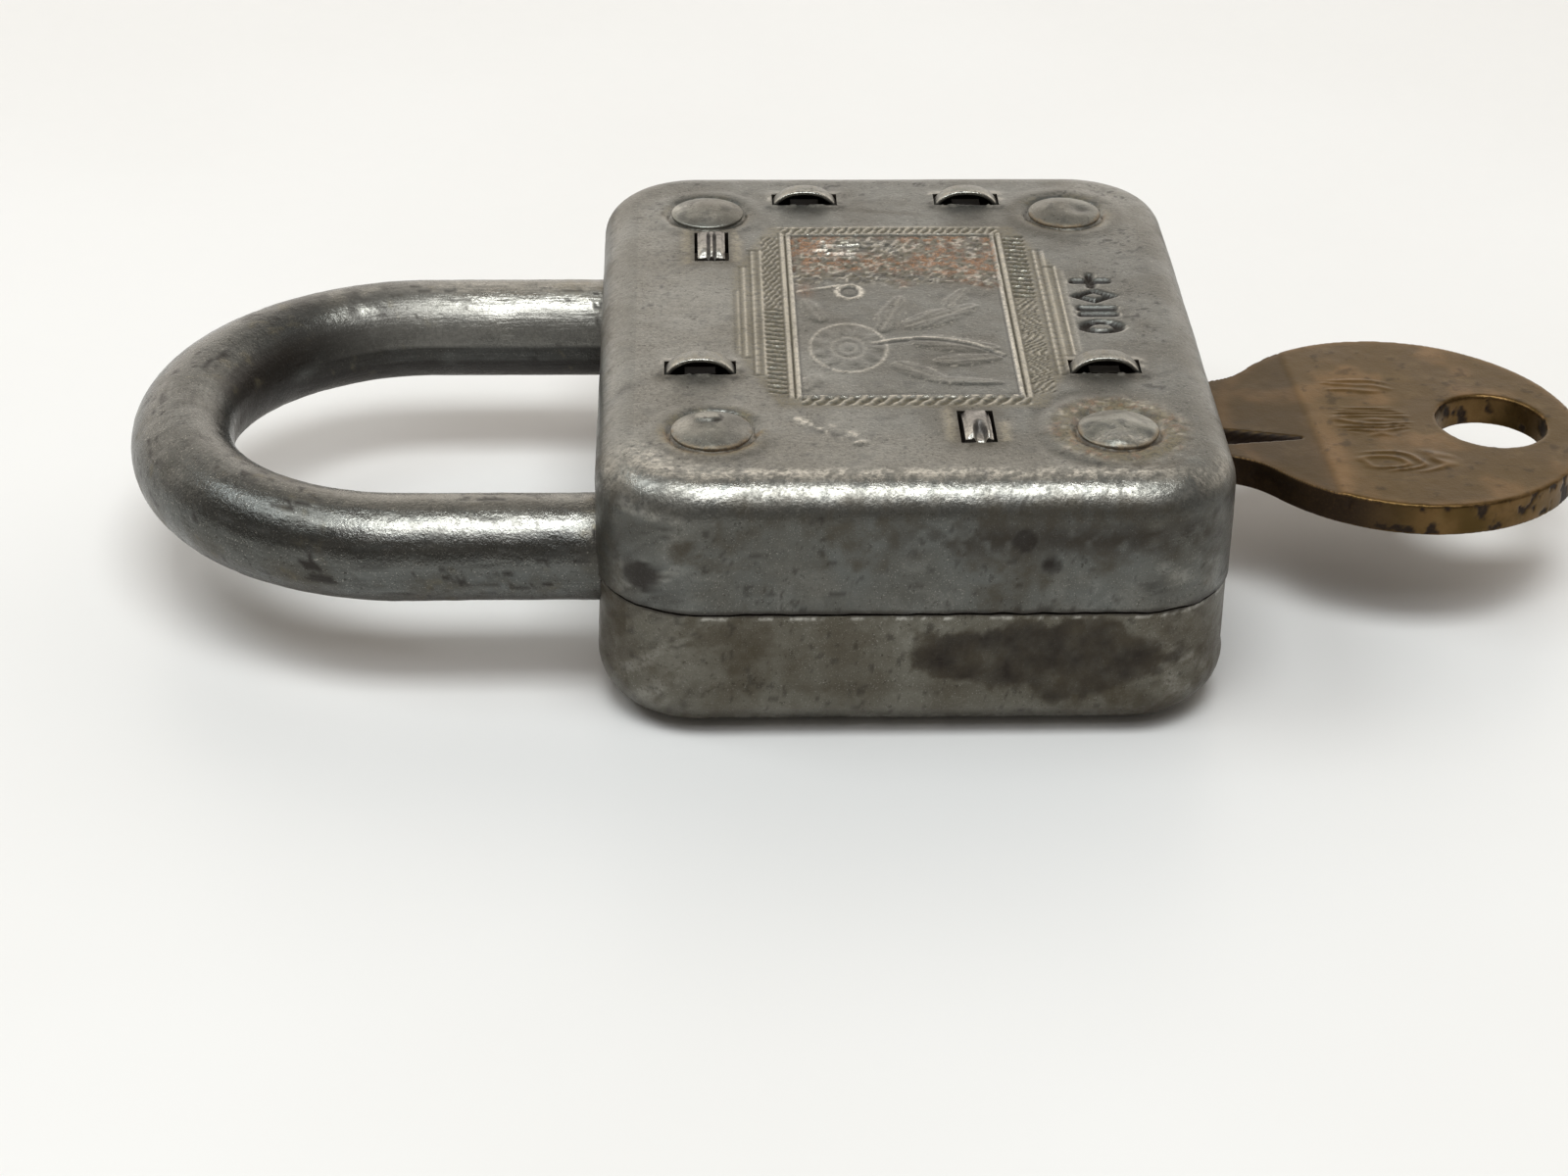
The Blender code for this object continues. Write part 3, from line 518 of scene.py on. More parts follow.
def face_relief(points):
    """Height of the front face above its plane and the masks that colour it."""
    x, y = points[:, 0], points[:, 1]
    height, bright, dark, in_panel, border = panel_relief(x, y)
    stamp = stamped_marks(x, y)
    height = height - 0.36 * stamp
    dark = np.maximum(dark, smoothstep(0.14, 0.38, stamp))
    bright = np.maximum(
        bright, 0.5 * bump(stamp - 0.06, 0.05) * (stamp > 0.01) * (fbm(points, 0.7, 2, 3) > -0.2)
    )
    grime_and_shade = np.zeros_like(x)
    rust = np.zeros_like(x)
    ochre = 0.55 * border
    wobble = fbm(points, 1.3, 3, 5)
    for name, (cx, cy) in RIVETS.items():
        r = np.hypot(x - cx, y - cy) + 0.10 * wobble
        height -= 0.20 * bump(r - 2.46, 0.16)
        # One-sided dark ring at each rivet's foot, on the near-left side only: painted shade that
        # makes the head stand out.
        dark = np.maximum(
            dark,
            0.95 * amount_of(name) * bump(r - 2.44, 0.14) * smoothstep(
                0.8, -0.8, y - cy + 0.5 * (x - cx)
            ),
        )
        height += 0.05 * bump(r - 3.2, 0.4)
        amount = amount_of(name)
        patchy = smoothstep(-0.7, 0.4, fbm(points, 0.8, 3, 7 + int(cx)) - 0.25 * np.sign(y - cy))
        grime_and_shade = np.maximum(grime_and_shade, 0.7 * amount * bump(r - 2.65, 0.25) * patchy)
        ochre = np.maximum(ochre, 1.0 * amount * bump(r - 2.74, 0.34) * patchy)
        rust = np.maximum(rust, 0.4 * amount * bump(r - 2.6, 0.2) * patchy * (y < cy))
        if name == "rivet_key_near":
            lean = smoothstep(2.0, -2.5, x - cx)
            height += lean * (0.08 * bump(r - 4.0, 0.45) - 0.05 * bump(r - 4.8, 0.4))
            grime_and_shade = np.maximum(
                grime_and_shade, 0.95 * patchy * bump(r - 3.1, 0.65) + 0.35 * bump(r - 4.8, 0.4) * lean
            )
            freckles = fbm(points, 0.4, 2, 9)
            ring = bump(r - 3.2, 0.75)
            rust = np.maximum(rust, 0.5 * ring * smoothstep(0.1, 0.5, freckles))
            ochre = np.maximum(ochre, 0.85 * ring * (1.0 - 0.6 * smoothstep(-0.1, 0.5, freckles)))
            dark = np.maximum(dark, 0.7 * ring * smoothstep(0.25, 0.5, -freckles))
            bright = np.maximum(
                bright, 0.8 * ring * smoothstep(0.35, 0.55, fbm(points, 0.4, 2, 15))
            )
            height += 0.04 * ring * freckles
        if name == "rivet_key_far":
            height += 0.06 * bump(r - 3.6, 0.5)
            grime_and_shade = np.maximum(grime_and_shade, 0.45 * bump(r - 3.4, 0.7))
        if name == "rivet_toe":
            grime_and_shade = np.maximum(grime_and_shade, 0.55 * bump(r - 3.2, 0.8) * smoothstep(0.5, -1.5, y - cy))
    nick = fbm(points, 0.42, 2, 37)
    for cx, cy in BRIDGES:
        d = np.hypot(np.maximum(np.abs(x - cx) - 1.9, 0.0), np.maximum(np.abs(y - cy) - 0.8, 0.0))
        height += 0.08 * bump(d - 0.2, 0.5) * (d > 0.001)
        near_side = smoothstep(0.2, -0.6, y - cy)
        grime_and_shade = np.maximum(
            grime_and_shade,
            (0.75 if cy < 0 else 0.4) * bump(d, 1.1 if cy < 0 else 0.7) * (0.4 + 0.6 * near_side),
        )
        bright = np.maximum(
            bright, 0.5 * bump(d - 0.35, 0.22) * (1.0 - near_side) * smoothstep(-0.6, 0.2, nick)
        )
        # Bright lip along the near side of each strip: painted highlight of the strip's rim, on a
        # slight raised edge.
        lip = bump(d - 0.22, 0.14) * near_side * (np.abs(x - cx) < 1.7)
        bright = np.maximum(bright, 0.9 * lip * smoothstep(0.15, 0.4, nick))
        height += 0.10 * lip * smoothstep(0.1, 0.4, nick)
        dark = np.maximum(dark, 0.7 * bump(d - 0.5, 0.2) * near_side * smoothstep(0.0, 0.35, -nick))
    for x0, y0, x1, y1 in (KICK_WINDOW, LOCK_WINDOW):
        dx = np.maximum(np.maximum(x0 - x, x - x1), 0.0)
        dy = np.maximum(np.maximum(y0 - y, y - y1), 0.0)
        d = np.hypot(dx, dy)
        grime_and_shade = np.maximum(grime_and_shade, 0.75 * bump(d, 0.9))
        halo = bump(d - 0.5, 0.35) * (dx > dy) * smoothstep(-0.6, 0.2, wobble)
        bright = np.maximum(bright, 0.5 * halo)
        ochre = np.maximum(ochre, 0.6 * halo)
    coarse = fbm(points, 6.0, 4, 11)
    fine = fbm(points, 0.55, 3, 23)
    grain = fbm(points, 0.24, 2, 29)
    far_third = in_panel * smoothstep(3.6, 5.2, y + 0.8 * wobble)
    height += far_third * (0.03 * fine + 0.05 * grain)
    patch = smoothstep(-0.35, 0.5, fbm(points, 2.4, 3, 41) + 0.45 * smoothstep(0.5, 4.0, x) - 0.1)
    speckle = fbm(points, 0.28, 2, 43)
    rust = np.maximum(rust, far_third * patch * smoothstep(-0.25, 0.3, speckle))
    ochre = np.maximum(ochre, 0.5 * far_third * smoothstep(0.1, -0.3, speckle))
    bright = np.maximum(bright, far_third * smoothstep(0.36, 0.56, fbm(points, 0.27, 2, 47)))
    dark = np.maximum(dark, 0.85 * far_third * smoothstep(0.40, 0.6, fbm(points, 0.32, 2, 53)))
    rust = np.maximum(rust, 0.5 * in_panel * bump(x + 5.6, 0.5) * bump(y - 3.6, 1.0))
    grime_and_shade = np.maximum(grime_and_shade, 0.35 * far_third)
    streak = bump((y - 15.2) + 0.16 * (x - 0.0), 0.28) * bump(x, 2.2)
    grime_and_shade = np.maximum(grime_and_shade, 0.6 * streak)
    grime_and_shade = np.maximum(grime_and_shade, 0.22 * smoothstep(0.1, 0.8, coarse))
    outer = smoothstep(1.5, 6.5, np.maximum(np.abs(x) - 9.0, np.abs(y) - 12.5)) + 0.15
    specks = smoothstep(0.48, 0.62, fbm(points, 0.36, 3, 67)) * smoothstep(
        -0.1, 0.5, fbm(points, 3.0, 2, 69)
    )
    dark = np.maximum(dark, 0.75 * specks * np.minimum(outer, 1.0))
    corner = bump(np.hypot(x - 13.5, 0.9 * (y + 18.5)), 4.2) * smoothstep(
        -0.6, 0.4, fbm(points, 1.2, 4, 63)
    )
    grime_and_shade = np.maximum(grime_and_shade, 0.75 * corner)
    bright = np.maximum(bright, 0.16 * smoothstep(-3.0, -12.0, x + 0.4 * y) * (1.0 - border))
    bright = np.maximum(
        bright, 0.17 * smoothstep(-12.5, -18.0, y + 0.3 * x) * smoothstep(-0.9, 0.1, coarse)
    )
    bright = np.maximum(bright, 0.12 * smoothstep(10.0, 13.0, x) * smoothstep(8.0, 14.0, y))
    dark = np.maximum(dark, 0.75 * line_mark(x, y, (-17.4, -10.6), (-16.3, -9.3), 0.4))
    dents = smoothstep(0.5, 0.8, fbm(points, 0.9, 2, 61))
    dark = np.maximum(dark, 0.22 * dents)
    speck = line_mark(x, y, (-3.3, -16.5), (-3.1, -16.4), 0.24)
    bright = np.maximum(bright, speck)
    trail = line_mark(x, y, (-6.6, -13.6), (-3.6, -15.6), 0.5) * smoothstep(0.3, 0.5, nick)
    bright = np.maximum(bright, 0.9 * trail)
    dark = np.maximum(
        dark,
        0.6 * line_mark(x, y, (-5.6, -14.8), (-3.7, -16.2), 0.4) * smoothstep(0.2, 0.5, -nick),
    )
    height += 0.010 * coarse + 0.006 * fine + 0.12 * speck
    return height, {"bright": bright, "dark": dark, "grime_and_shade": grime_and_shade, "rust": rust, "ochre": ochre}


def wall_masks(points, front):
    """Stains and wear on the rounded rim and the side walls, and a painted highlight along the
    front shell's top edge.
    """
    x, y, z = points.T
    near = smoothstep(-HALF_Y + 4.0, -HALF_Y + 1.0, y)
    coarse = fbm(points, 4.5, 4, 71)
    fine = fbm(points, 0.7, 3, 73)
    zeros = np.zeros_like(x)
    grime_and_shade = 0.25 + 0.6 * smoothstep(-0.25, 0.5, coarse + 0.45 * fine)
    dark = smoothstep(0.46, 0.66, fbm(points, 0.5, 4, 77)) * 0.5
    bright = 0.10 * smoothstep(0.1, 0.6, -coarse) * smoothstep(-0.4, 0.3, fine)
    rust = zeros.copy()
    ochre = zeros.copy()

    def spot(cx, cz, rx, rz, strength, rough=0.25):
        r = np.hypot((x - cx) / rx, (z - cz) / rz) + rough * fine
        return strength * near * (1.0 - smoothstep(0.75, 1.15, r))

    brushed = fbm(
        np.column_stack([0.9 * (x * np.sign(x) + z), 0.15 * y, 0.25 * (z - x * np.sign(x))]),
        1.0,
        3,
        83,
    )
    corner = smoothstep(11.0, 15.0, np.abs(x)) * near
    bright = np.maximum(bright, 0.30 * corner * smoothstep(0.15, 0.6, brushed))
    dark = np.maximum(dark, 0.30 * corner * smoothstep(-0.1, -0.6, brushed))
    if front:
        pitted = smoothstep(-0.45, 0.25, 0.6 * fine + fbm(points, 0.26, 2, 79))
        # Lighter pitted band just under the top edge, strongest on the near side: worn metal, and
        # also a painted highlight where the lamp's glint falls.
        worn = bump((TOP - z) - 0.45, 0.55) * (0.45 + 0.55 * pitted)
        bright = np.maximum(
            bright, worn * (0.3 + 0.7 * smoothstep(-HALF_Y + 7.0, -HALF_Y + 3.5, y))
        )
        under = bump((TOP - z) - 3.0, 1.1) * smoothstep(-0.9, 0.3, fine + 0.5 * coarse)
        grime_and_shade = np.maximum(grime_and_shade, near * under * (0.5 + 0.5 * smoothstep(-2.0, 6.0, x)))
        dark = np.maximum(dark, 0.62 * near * under * smoothstep(-5.0, 4.0, x))
        dark = np.maximum(dark, spot(5.7, 12.8, 0.78, 0.78, 0.9, 0.10))
        dark = np.maximum(
            dark, spot(7.2, 11.25, 0.6, 0.6, 0.7, 0.2) + spot(7.1, 11.3, 0.3, 0.3, 0.3)
        )
        dark = np.maximum(dark, spot(-15.6, 10.1, 1.0, 1.0, 0.95, 0.3))
        grime_and_shade = np.maximum(grime_and_shade, spot(-13.1, 12.2, 0.9, 0.9, 0.95, 0.4))
        grime_and_shade = np.maximum(grime_and_shade, spot(9.5, 13.6, 5.5, 1.2, 0.6, 0.5))
        grime_and_shade = np.maximum(grime_and_shade, spot(-10.8, 11.4, 1.9, 0.5, 0.55, 0.4))
        dark = np.maximum(dark, 0.9 * near * line_mark(x, z, (-6.1, 14.05), (-5.4, 14.35), 0.11))
        edge = bump(z - SPLIT_FRONT, 0.30)
        grime_and_shade = np.maximum(grime_and_shade, 0.6 * edge)
        dark = np.maximum(dark, 0.9 * smoothstep(0.10, -0.02, z - SPLIT_FRONT + 0.05 * fine))
    else:
        grime_and_shade *= 0.45 + 1.0 * smoothstep(4.0, 12.0, np.abs(x + 1.0))
        blotch = fbm(points, 2.6, 5, 87)
        stain = 1.0 - smoothstep(
            0.65, 1.2, np.hypot((x - 7.6) / 6.9, (z - 5.4) / 2.5) + 0.32 * blotch + 0.12 * fine
        )
        grime_and_shade = np.maximum(grime_and_shade, near * smoothstep(0.0, 0.5, stain))
        mottle = fbm(points, 1.3, 3, 89)
        dark = np.maximum(
            dark, 0.66 * near * smoothstep(0.1, 0.7, stain) * (0.85 + 0.5 * mottle + 0.3 * fine)
        )
        grime_and_shade = np.maximum(grime_and_shade, spot(-11.6, 6.9, 2.4, 1.1, 0.75, 0.8))
        grime_and_shade = np.maximum(grime_and_shade, spot(-15.2, 4.2, 1.8, 0.9, 0.6, 0.7))
        lip = bump(z - SPLIT_BACK + 0.16, 0.13)
        bright = np.maximum(bright, lip * smoothstep(0.0, 0.4, fine))
        dark = np.maximum(dark, 0.95 * smoothstep(-0.08, 0.02, z - SPLIT_BACK + 0.06 * fine))
        bright = np.maximum(
            bright, bump(z - 0.62, 0.42) * (0.25 + 0.75 * smoothstep(-0.2, 0.3, fine))
        )
        dark = np.maximum(dark, 0.7 * near * line_mark(x, z, (5.9, 1.55), (6.7, 1.2), 0.13))
        dark = np.maximum(dark, 0.6 * near * line_mark(x, z, (-5.2, 2.0), (-4.9, 2.3), 0.12))
    return {"bright": bright, "dark": dark, "grime_and_shade": grime_and_shade, "rust": rust, "ochre": ochre}


# ------------------------------------------------------------------ materials


class Nodes:
    """Small helper for building a shader tree."""

    def __init__(self, name):
        self.mat = bpy.data.materials.new(name)
        self.mat.use_nodes = True
        self.tree = self.mat.node_tree
        self.bsdf = self.tree.nodes["Principled BSDF"]
        self.coords = self.tree.nodes.new("ShaderNodeTexCoord").outputs["Object"]

    def follow_wire(self):
        """Use texture coordinates that run along the bent bar instead of across the room."""
        split = self.node("ShaderNodeSeparateXYZ")
        self.link(self.coords, split.inputs[0])
        join = self.node("ShaderNodeCombineXYZ")
        self.link(self.math("MULTIPLY", self.mask("along"), 0.2), join.inputs[0])
        self.link(self.math("MULTIPLY", self.mask("across"), 2.0 * WIRE_R * MM), join.inputs[1])
        self.link(split.outputs[2], join.inputs[2])
        self.coords = join.outputs[0]

    def node(self, kind, **settings):
        node = self.tree.nodes.new(kind)
        for key, value in settings.items():
            setattr(node, key, value)
        return node

    def link(self, source, target):
        if isinstance(source, (int, float)):
            target.default_value = source
        elif isinstance(source, tuple):
            target.default_value = (*source, 1.0)[: len(target.default_value)]
        else:
            self.tree.links.new(source, target)

    def noise(self, size_mm, detail=4.0, rough=0.55, stretch=(1, 1, 1), distortion=0.0):
        scale = self.node("ShaderNodeVectorMath", operation="MULTIPLY")
        self.link(self.coords, scale.inputs[0])
        scale.inputs[1].default_value = stretch
        tex = self.node("ShaderNodeTexNoise")
        self.link(scale.outputs[0], tex.inputs["Vector"])
        tex.inputs["Scale"].default_value = 1000.0 / size_mm
        tex.inputs["Detail"].default_value = detail
        tex.inputs["Roughness"].default_value = rough
        tex.inputs["Distortion"].default_value = distortion
        return tex.outputs["Fac"]

    def ramp(self, source, low, high, a=0.0, b=1.0):
        node = self.node("ShaderNodeMapRange", interpolation_type="SMOOTHSTEP")
        self.link(source, node.inputs["Value"])
        for key, value in (("From Min", low), ("From Max", high), ("To Min", a), ("To Max", b)):
            node.inputs[key].default_value = value
        return node.outputs["Result"]

    def math(self, operation, a, b=0.0, clamp=False):
        node = self.node("ShaderNodeMath", operation=operation, use_clamp=clamp)
        self.link(a, node.inputs[0])
        self.link(b, node.inputs[1])
        return node.outputs[0]

    def mix(self, fac, a, b, blend="MIX"):
        node = self.node("ShaderNodeMix", data_type="RGBA", blend_type=blend)
        self.link(fac, node.inputs[0])
        self.link(a, node.inputs[6])
        self.link(b, node.inputs[7])
        return node.outputs[2]

    def mask(self, name):
        node = self.node("ShaderNodeAttribute", attribute_type="GEOMETRY", attribute_name=name)
        return node.outputs["Fac"]

    def bump(self, height, distance_mm, strength=1.0, below=None):
        node = self.node("ShaderNodeBump")
        self.link(height, node.inputs["Height"])
        node.inputs["Distance"].default_value = distance_mm * MM
        node.inputs["Strength"].default_value = strength
        if below is not None:
            self.link(below, node.inputs["Normal"])
        return node.outputs["Normal"]


def plated_steel(name, base, warm, roughness=0.42, mottle=1.0, speckle=1.0, wire=False):
    """Old dull plating: cloudy grey, fine pits and bright grains; by mask, lighter wear that also
    carries painted highlights, dirt that also carries painted shade, near-black marks that also
    carry painted shade, ochre and rust.
    """
    n = Nodes(name)
    if wire:
        n.follow_wire()
    cloud = n.noise(5.0, 5.0, 0.6)
    patch = n.noise(1.1, 5.0, 0.65)
    grain = n.noise(0.22, 3.0, 0.65)
    tiny = n.noise(0.09, 2.0, 0.6)
    colour = n.mix(n.ramp(cloud, 0.36, 0.66), base, warm)
    light = tuple(c * 1.4 for c in base)
    deep = tuple(c * 0.58 for c in warm)
    colour = n.mix(n.ramp(patch, 0.54, 0.72, 0.0, 0.6 * mottle), colour, light)
    colour = n.mix(n.ramp(patch, 0.45, 0.28, 0.0, 0.7 * mottle), colour, deep)
    pits = n.ramp(n.math("ADD", grain, n.math("MULTIPLY", patch, 0.35)), 0.58, 0.44, 0.0, speckle)
    colour = n.mix(n.math("MULTIPLY", pits, 0.5, clamp=True), colour, (0.026, 0.022, 0.018))
    sparks = n.ramp(tiny, 0.60, 0.72, 0.0, 0.42 * speckle)
    colour = n.mix(sparks, colour, (0.52, 0.50, 0.45))
    rough = n.ramp(cloud, 0.3, 0.7, roughness - 0.05, roughness + 0.07)
    rough = n.math("ADD", rough, n.math("MULTIPLY", pits, 0.10))
    if wire:
        rough = n.math("ADD", rough, n.math("MULTIPLY", n.mask("scuff"), 0.05))
    scratch = n.noise(0.5, 3.0, 0.6, stretch=(0.22, 1.8, 1.8), distortion=0.4)
    colour = n.mix(n.ramp(scratch, 0.62, 0.76, 0.0, 0.12 * speckle), colour, light)
    height = n.math("ADD", n.math("MULTIPLY", grain, 1.0), n.math("MULTIPLY", tiny, 0.4))
    height = n.math("ADD", height, n.math("MULTIPLY", patch, 1.6))
    if wire:
        brushed = n.noise(0.42, 4.0, 0.65, stretch=(0.13, 1.5, 1.5))
        height = n.math(
            "ADD", height, n.math("MULTIPLY", brushed, n.math("MULTIPLY", n.mask("scuff"), 1.5))
        )
        colour = n.mix(n.ramp(brushed, 0.50, 0.36, 0.0, 0.35), colour, deep)
        colour = n.mix(n.ramp(brushed, 0.55, 0.70, 0.0, 0.35), colour, light)
    # Lighter metal from the bright mask: real wear, and also painted highlights where the masks
    # widen the lamp's glint on the shackle and the case's top edge.
    wear_and_highlight = n.math(
        "MULTIPLY", n.mask("bright"), n.ramp(grain, 0.38, 0.58, 0.7 if wire else 0.42, 1.0)
    )
    colour = n.mix(n.math("MULTIPLY", wear_and_highlight, 0.9, clamp=True), colour, (0.60, 0.585, 0.53))
    rough = n.math("SUBTRACT", rough, n.math("MULTIPLY", wear_and_highlight, 0.04 if wire else 0.12))
    # Brown dirt tone from the dirt mask, which also carries painted shade in the openings, at the
    # bridge roots and under the shackle's near leg.
    dirt_and_shade = n.math("MULTIPLY", n.mask("grime_and_shade"), n.ramp(patch, 0.3, 0.62, 0.45, 1.0), clamp=True)
    colour = n.mix(n.math("MULTIPLY", dirt_and_shade, 0.78), colour, (0.060, 0.046, 0.027))
    rough = n.math("ADD", rough, n.math("MULTIPLY", dirt_and_shade, 0.10))
    # Near-black from the dark mask: real pits, cuts and stamps, and also painted shade inside the
    # openings, at the bridge roots and on the shackle's inner bend.
    black = n.math("MULTIPLY", n.mask("dark"), n.ramp(grain, 0.25, 0.5, 0.75, 1.0))
    colour = n.mix(n.math("MULTIPLY", black, 0.92), colour, (0.016, 0.011, 0.008))
    yellow = n.math("MULTIPLY", n.mask("ochre"), n.ramp(grain, 0.36, 0.6, 0.3, 1.0))
    colour = n.mix(n.math("MULTIPLY", yellow, 0.75), colour, (0.235, 0.205, 0.130))
    rough = n.math("ADD", rough, n.math("MULTIPLY", yellow, 0.12))
    red = n.math("MULTIPLY", n.mask("rust"), n.ramp(grain, 0.36, 0.56, 0.35, 1.0), clamp=True)
    tint = n.mix(n.ramp(tiny, 0.4, 0.62), (0.20, 0.095, 0.048), (0.40, 0.235, 0.130))
    colour = n.mix(n.math("MULTIPLY", red, 0.85), colour, tint)
    rough = n.math("ADD", rough, n.math("MULTIPLY", red, 0.28))
    metal = n.math("SUBTRACT", 1.0, n.math("MULTIPLY", red, 0.75))
    metal = n.math("SUBTRACT", metal, n.math("MULTIPLY", dirt_and_shade, 0.35))
    metal = n.math("SUBTRACT", metal, black, clamp=True)
    n.link(metal, n.bsdf.inputs["Metallic"])
    n.link(colour, n.bsdf.inputs["Base Color"])
    n.link(rough, n.bsdf.inputs["Roughness"])
    n.link(n.bump(height, 0.030, 0.9), n.bsdf.inputs["Normal"])
    n.bsdf.inputs["Specular IOR Level"].default_value = 0.15
    return n.mat


def dull_metal(name, base, accent, roughness, size_mm=1.2):
    """Plain worn metal for the small and inner pieces."""
    n = Nodes(name)
    cloud = n.noise(size_mm * 3.0, 4.0, 0.6)
    grain = n.noise(size_mm * 0.25, 3.0, 0.6)
    colour = n.mix(n.ramp(cloud, 0.35, 0.65), base, accent)
    colour = n.mix(n.ramp(grain, 0.62, 0.74, 0.0, 0.6), colour, tuple(c * 0.3 for c in base))
    n.link(colour, n.bsdf.inputs["Base Color"])
    n.link(n.ramp(cloud, 0.3, 0.7, roughness - 0.06, roughness + 0.1), n.bsdf.inputs["Roughness"])
    n.link(n.bump(grain, 0.015, 0.6), n.bsdf.inputs["Normal"])
    n.bsdf.inputs["Metallic"].default_value = 1.0
    return n.mat


def painted_shade_black():
    """Near-black finish for the straps under the face: painted shade, so they read as the dark
    inside of the openings.
    """
    n = Nodes("painted_shade_black")
    murk_noise = n.noise(1.4, 4.0, 0.6)
    n.link(
        n.mix(n.ramp(murk_noise, 0.35, 0.65), (0.010, 0.009, 0.008), (0.020, 0.017, 0.013)),
        n.bsdf.inputs["Base Color"],
    )
    n.link(n.ramp(murk_noise, 0.3, 0.7, 0.7, 0.85), n.bsdf.inputs["Roughness"])
    n.link(n.bump(murk_noise, 0.05, 0.6), n.bsdf.inputs["Normal"])
    n.bsdf.inputs["Specular IOR Level"].default_value = 0.12
    return n.mat


def key_brass():
    """Tarnished olive-brown brass, golden where it is handled and where highlights are painted on
    the bow's relief, pitted along the edges.
    """
    n = Nodes("key_brass")
    cloud = n.noise(6.0, 4.0, 0.6)
    patch = n.noise(1.6, 5.0, 0.62)
    grain = n.noise(0.2, 3.0, 0.65)
    streak = n.noise(0.5, 3.0, 0.6, stretch=(0.25, 1.6, 1.0))
    colour = n.mix(n.ramp(cloud, 0.35, 0.68), (0.077, 0.048, 0.0160), (0.096, 0.061, 0.0200))
    colour = n.mix(n.ramp(patch, 0.5, 0.72, 0.0, 0.5), colour, (0.130, 0.087, 0.035))
    colour = n.mix(n.ramp(streak, 0.58, 0.72, 0.0, 0.35), colour, (0.044, 0.029, 0.015))
    gold = n.math("MULTIPLY", n.mask("bright"), n.ramp(patch, 0.3, 0.55, 0.35, 1.0))
    colour = n.mix(n.math("MULTIPLY", gold, 0.9, clamp=True), colour, (0.30, 0.175, 0.078))
    black = n.math("MULTIPLY", n.mask("dark"), n.ramp(grain, 0.3, 0.55, 0.85, 1.0))
    colour = n.mix(n.math("MULTIPLY", black, 0.97, clamp=True), colour, (0.012, 0.006, 0.004))
    n.link(colour, n.bsdf.inputs["Base Color"])
    rough = n.ramp(cloud, 0.3, 0.7, 0.36, 0.46)
    rough = n.math("ADD", rough, n.math("MULTIPLY", black, 0.15))
    n.link(rough, n.bsdf.inputs["Roughness"])
    n.link(n.bump(grain, 0.014, 0.7), n.bsdf.inputs["Normal"])
    n.link(
        n.math("SUBTRACT", 1.0, n.math("MULTIPLY", black, 0.9), clamp=True),
        n.bsdf.inputs["Metallic"],
    )
    n.bsdf.inputs["Specular IOR Level"].default_value = 0.15
    return n.mat


def table_top():
    """Pale laminate with a faint cloud and a satin gloss."""
    n = Nodes("table_top")
    cloud = n.noise(60.0, 3.0, 0.5)
    grain = n.noise(1.5, 3.0, 0.5)
    colour = n.mix(n.ramp(cloud, 0.3, 0.7), (0.80, 0.797, 0.785), (0.825, 0.825, 0.817))
    n.link(colour, n.bsdf.inputs["Base Color"])
    n.link(n.ramp(grain, 0.3, 0.7, 0.34, 0.40), n.bsdf.inputs["Roughness"])
    n.link(n.bump(grain, 0.004, 0.4), n.bsdf.inputs["Normal"])
    n.bsdf.inputs["Specular IOR Level"].default_value = 0.35
    return n.mat


# ------------------------------------------------------------------ openings


def box_inside(x0, y0, x1, y1):
    """Signed distance in plan to a slot, negative inside, only for points near the front face."""

    def inside(p):
        ragged = 0.09 * fbm(np.column_stack([p[:, 0], p[:, 1] * 0.0, p[:, 0] * 0.0]), 0.55, 3, 211)
        dx = np.maximum(x0 - p[:, 0], p[:, 0] - x1)
        dy = np.maximum(y0 - p[:, 1] + np.maximum(ragged, 0.0), p[:, 1] - y1)
        d = np.maximum(dx, dy)
        return np.where(p[:, 2] > TOP - 1.0, d, 9.0)

    return inside


def leg_inside(y0, y1, corner):
    """Opening of a shackle leg in the -X wall, from y0 to y1, and round the corner if asked."""
    r = 3.4

    def inside(p):
        dy = np.maximum(np.maximum(y0 - p[:, 1], p[:, 1] - y1), 0.0)
        d = np.hypot(dy, p[:, 2] - LEG_Z) - r
        d = np.where(p[:, 0] < -14.0, d, 9.0)
        if corner:
            slot = np.maximum(np.abs(p[:, 2] - LEG_Z) - r, p[:, 0] + 11.3)
            slot = np.where(p[:, 1] > y0, slot, 9.0)
            d = np.minimum(d, slot)
        return d

    return inside


def plug_inside(p):
    d = np.hypot(p[:, 1], p[:, 2] - KEY_Z) - 6.0
    return np.where(p[:, 0] > 15.0, d, 9.0)


def cut_walls(skin):
    """Toe hole, heel slot and keyway hole, each with a rim as deep as the sheet."""
    skin.cut(leg_inside(-LEG_Y, -LEG_Y + 1.1, False), np.array([1.0, 0.0, 0.0]), SHEET)
    inward = np.array([0.7071, -0.7071, 0.0])
    skin.cut(leg_inside(LEG_Y, 40.0, True), inward, SHEET)
    skin.cut(plug_inside, np.array([-1.0, 0.0, 0.0]), SHEET)


# ------------------------------------------------------------------ shells


def rim_rows(points, normals, profile):
    """Rows of a wall: each profile entry is (offset outward, height)."""
    rows = []
    for offset, z in profile:
        ring = np.zeros((len(points), 3))
        ring[:, :2] = points + normals * offset
        ring[:, 2] = z
        rows.append(ring)
    return np.array(rows)


def push_walls(rows, normals, amount, seed):
    """Slight dents and waves along the outward direction."""
    flat = rows.reshape(-1, 3)
    wave = amount * fbm(flat, 5.0, 3, seed) + 0.25 * amount * fbm(flat, 1.1, 2, seed + 3)
    out = np.tile(normals, (rows.shape[0], 1))
    flat = flat.copy()
    flat[:, :2] += out * wave[:, None]
    return flat.reshape(rows.shape)


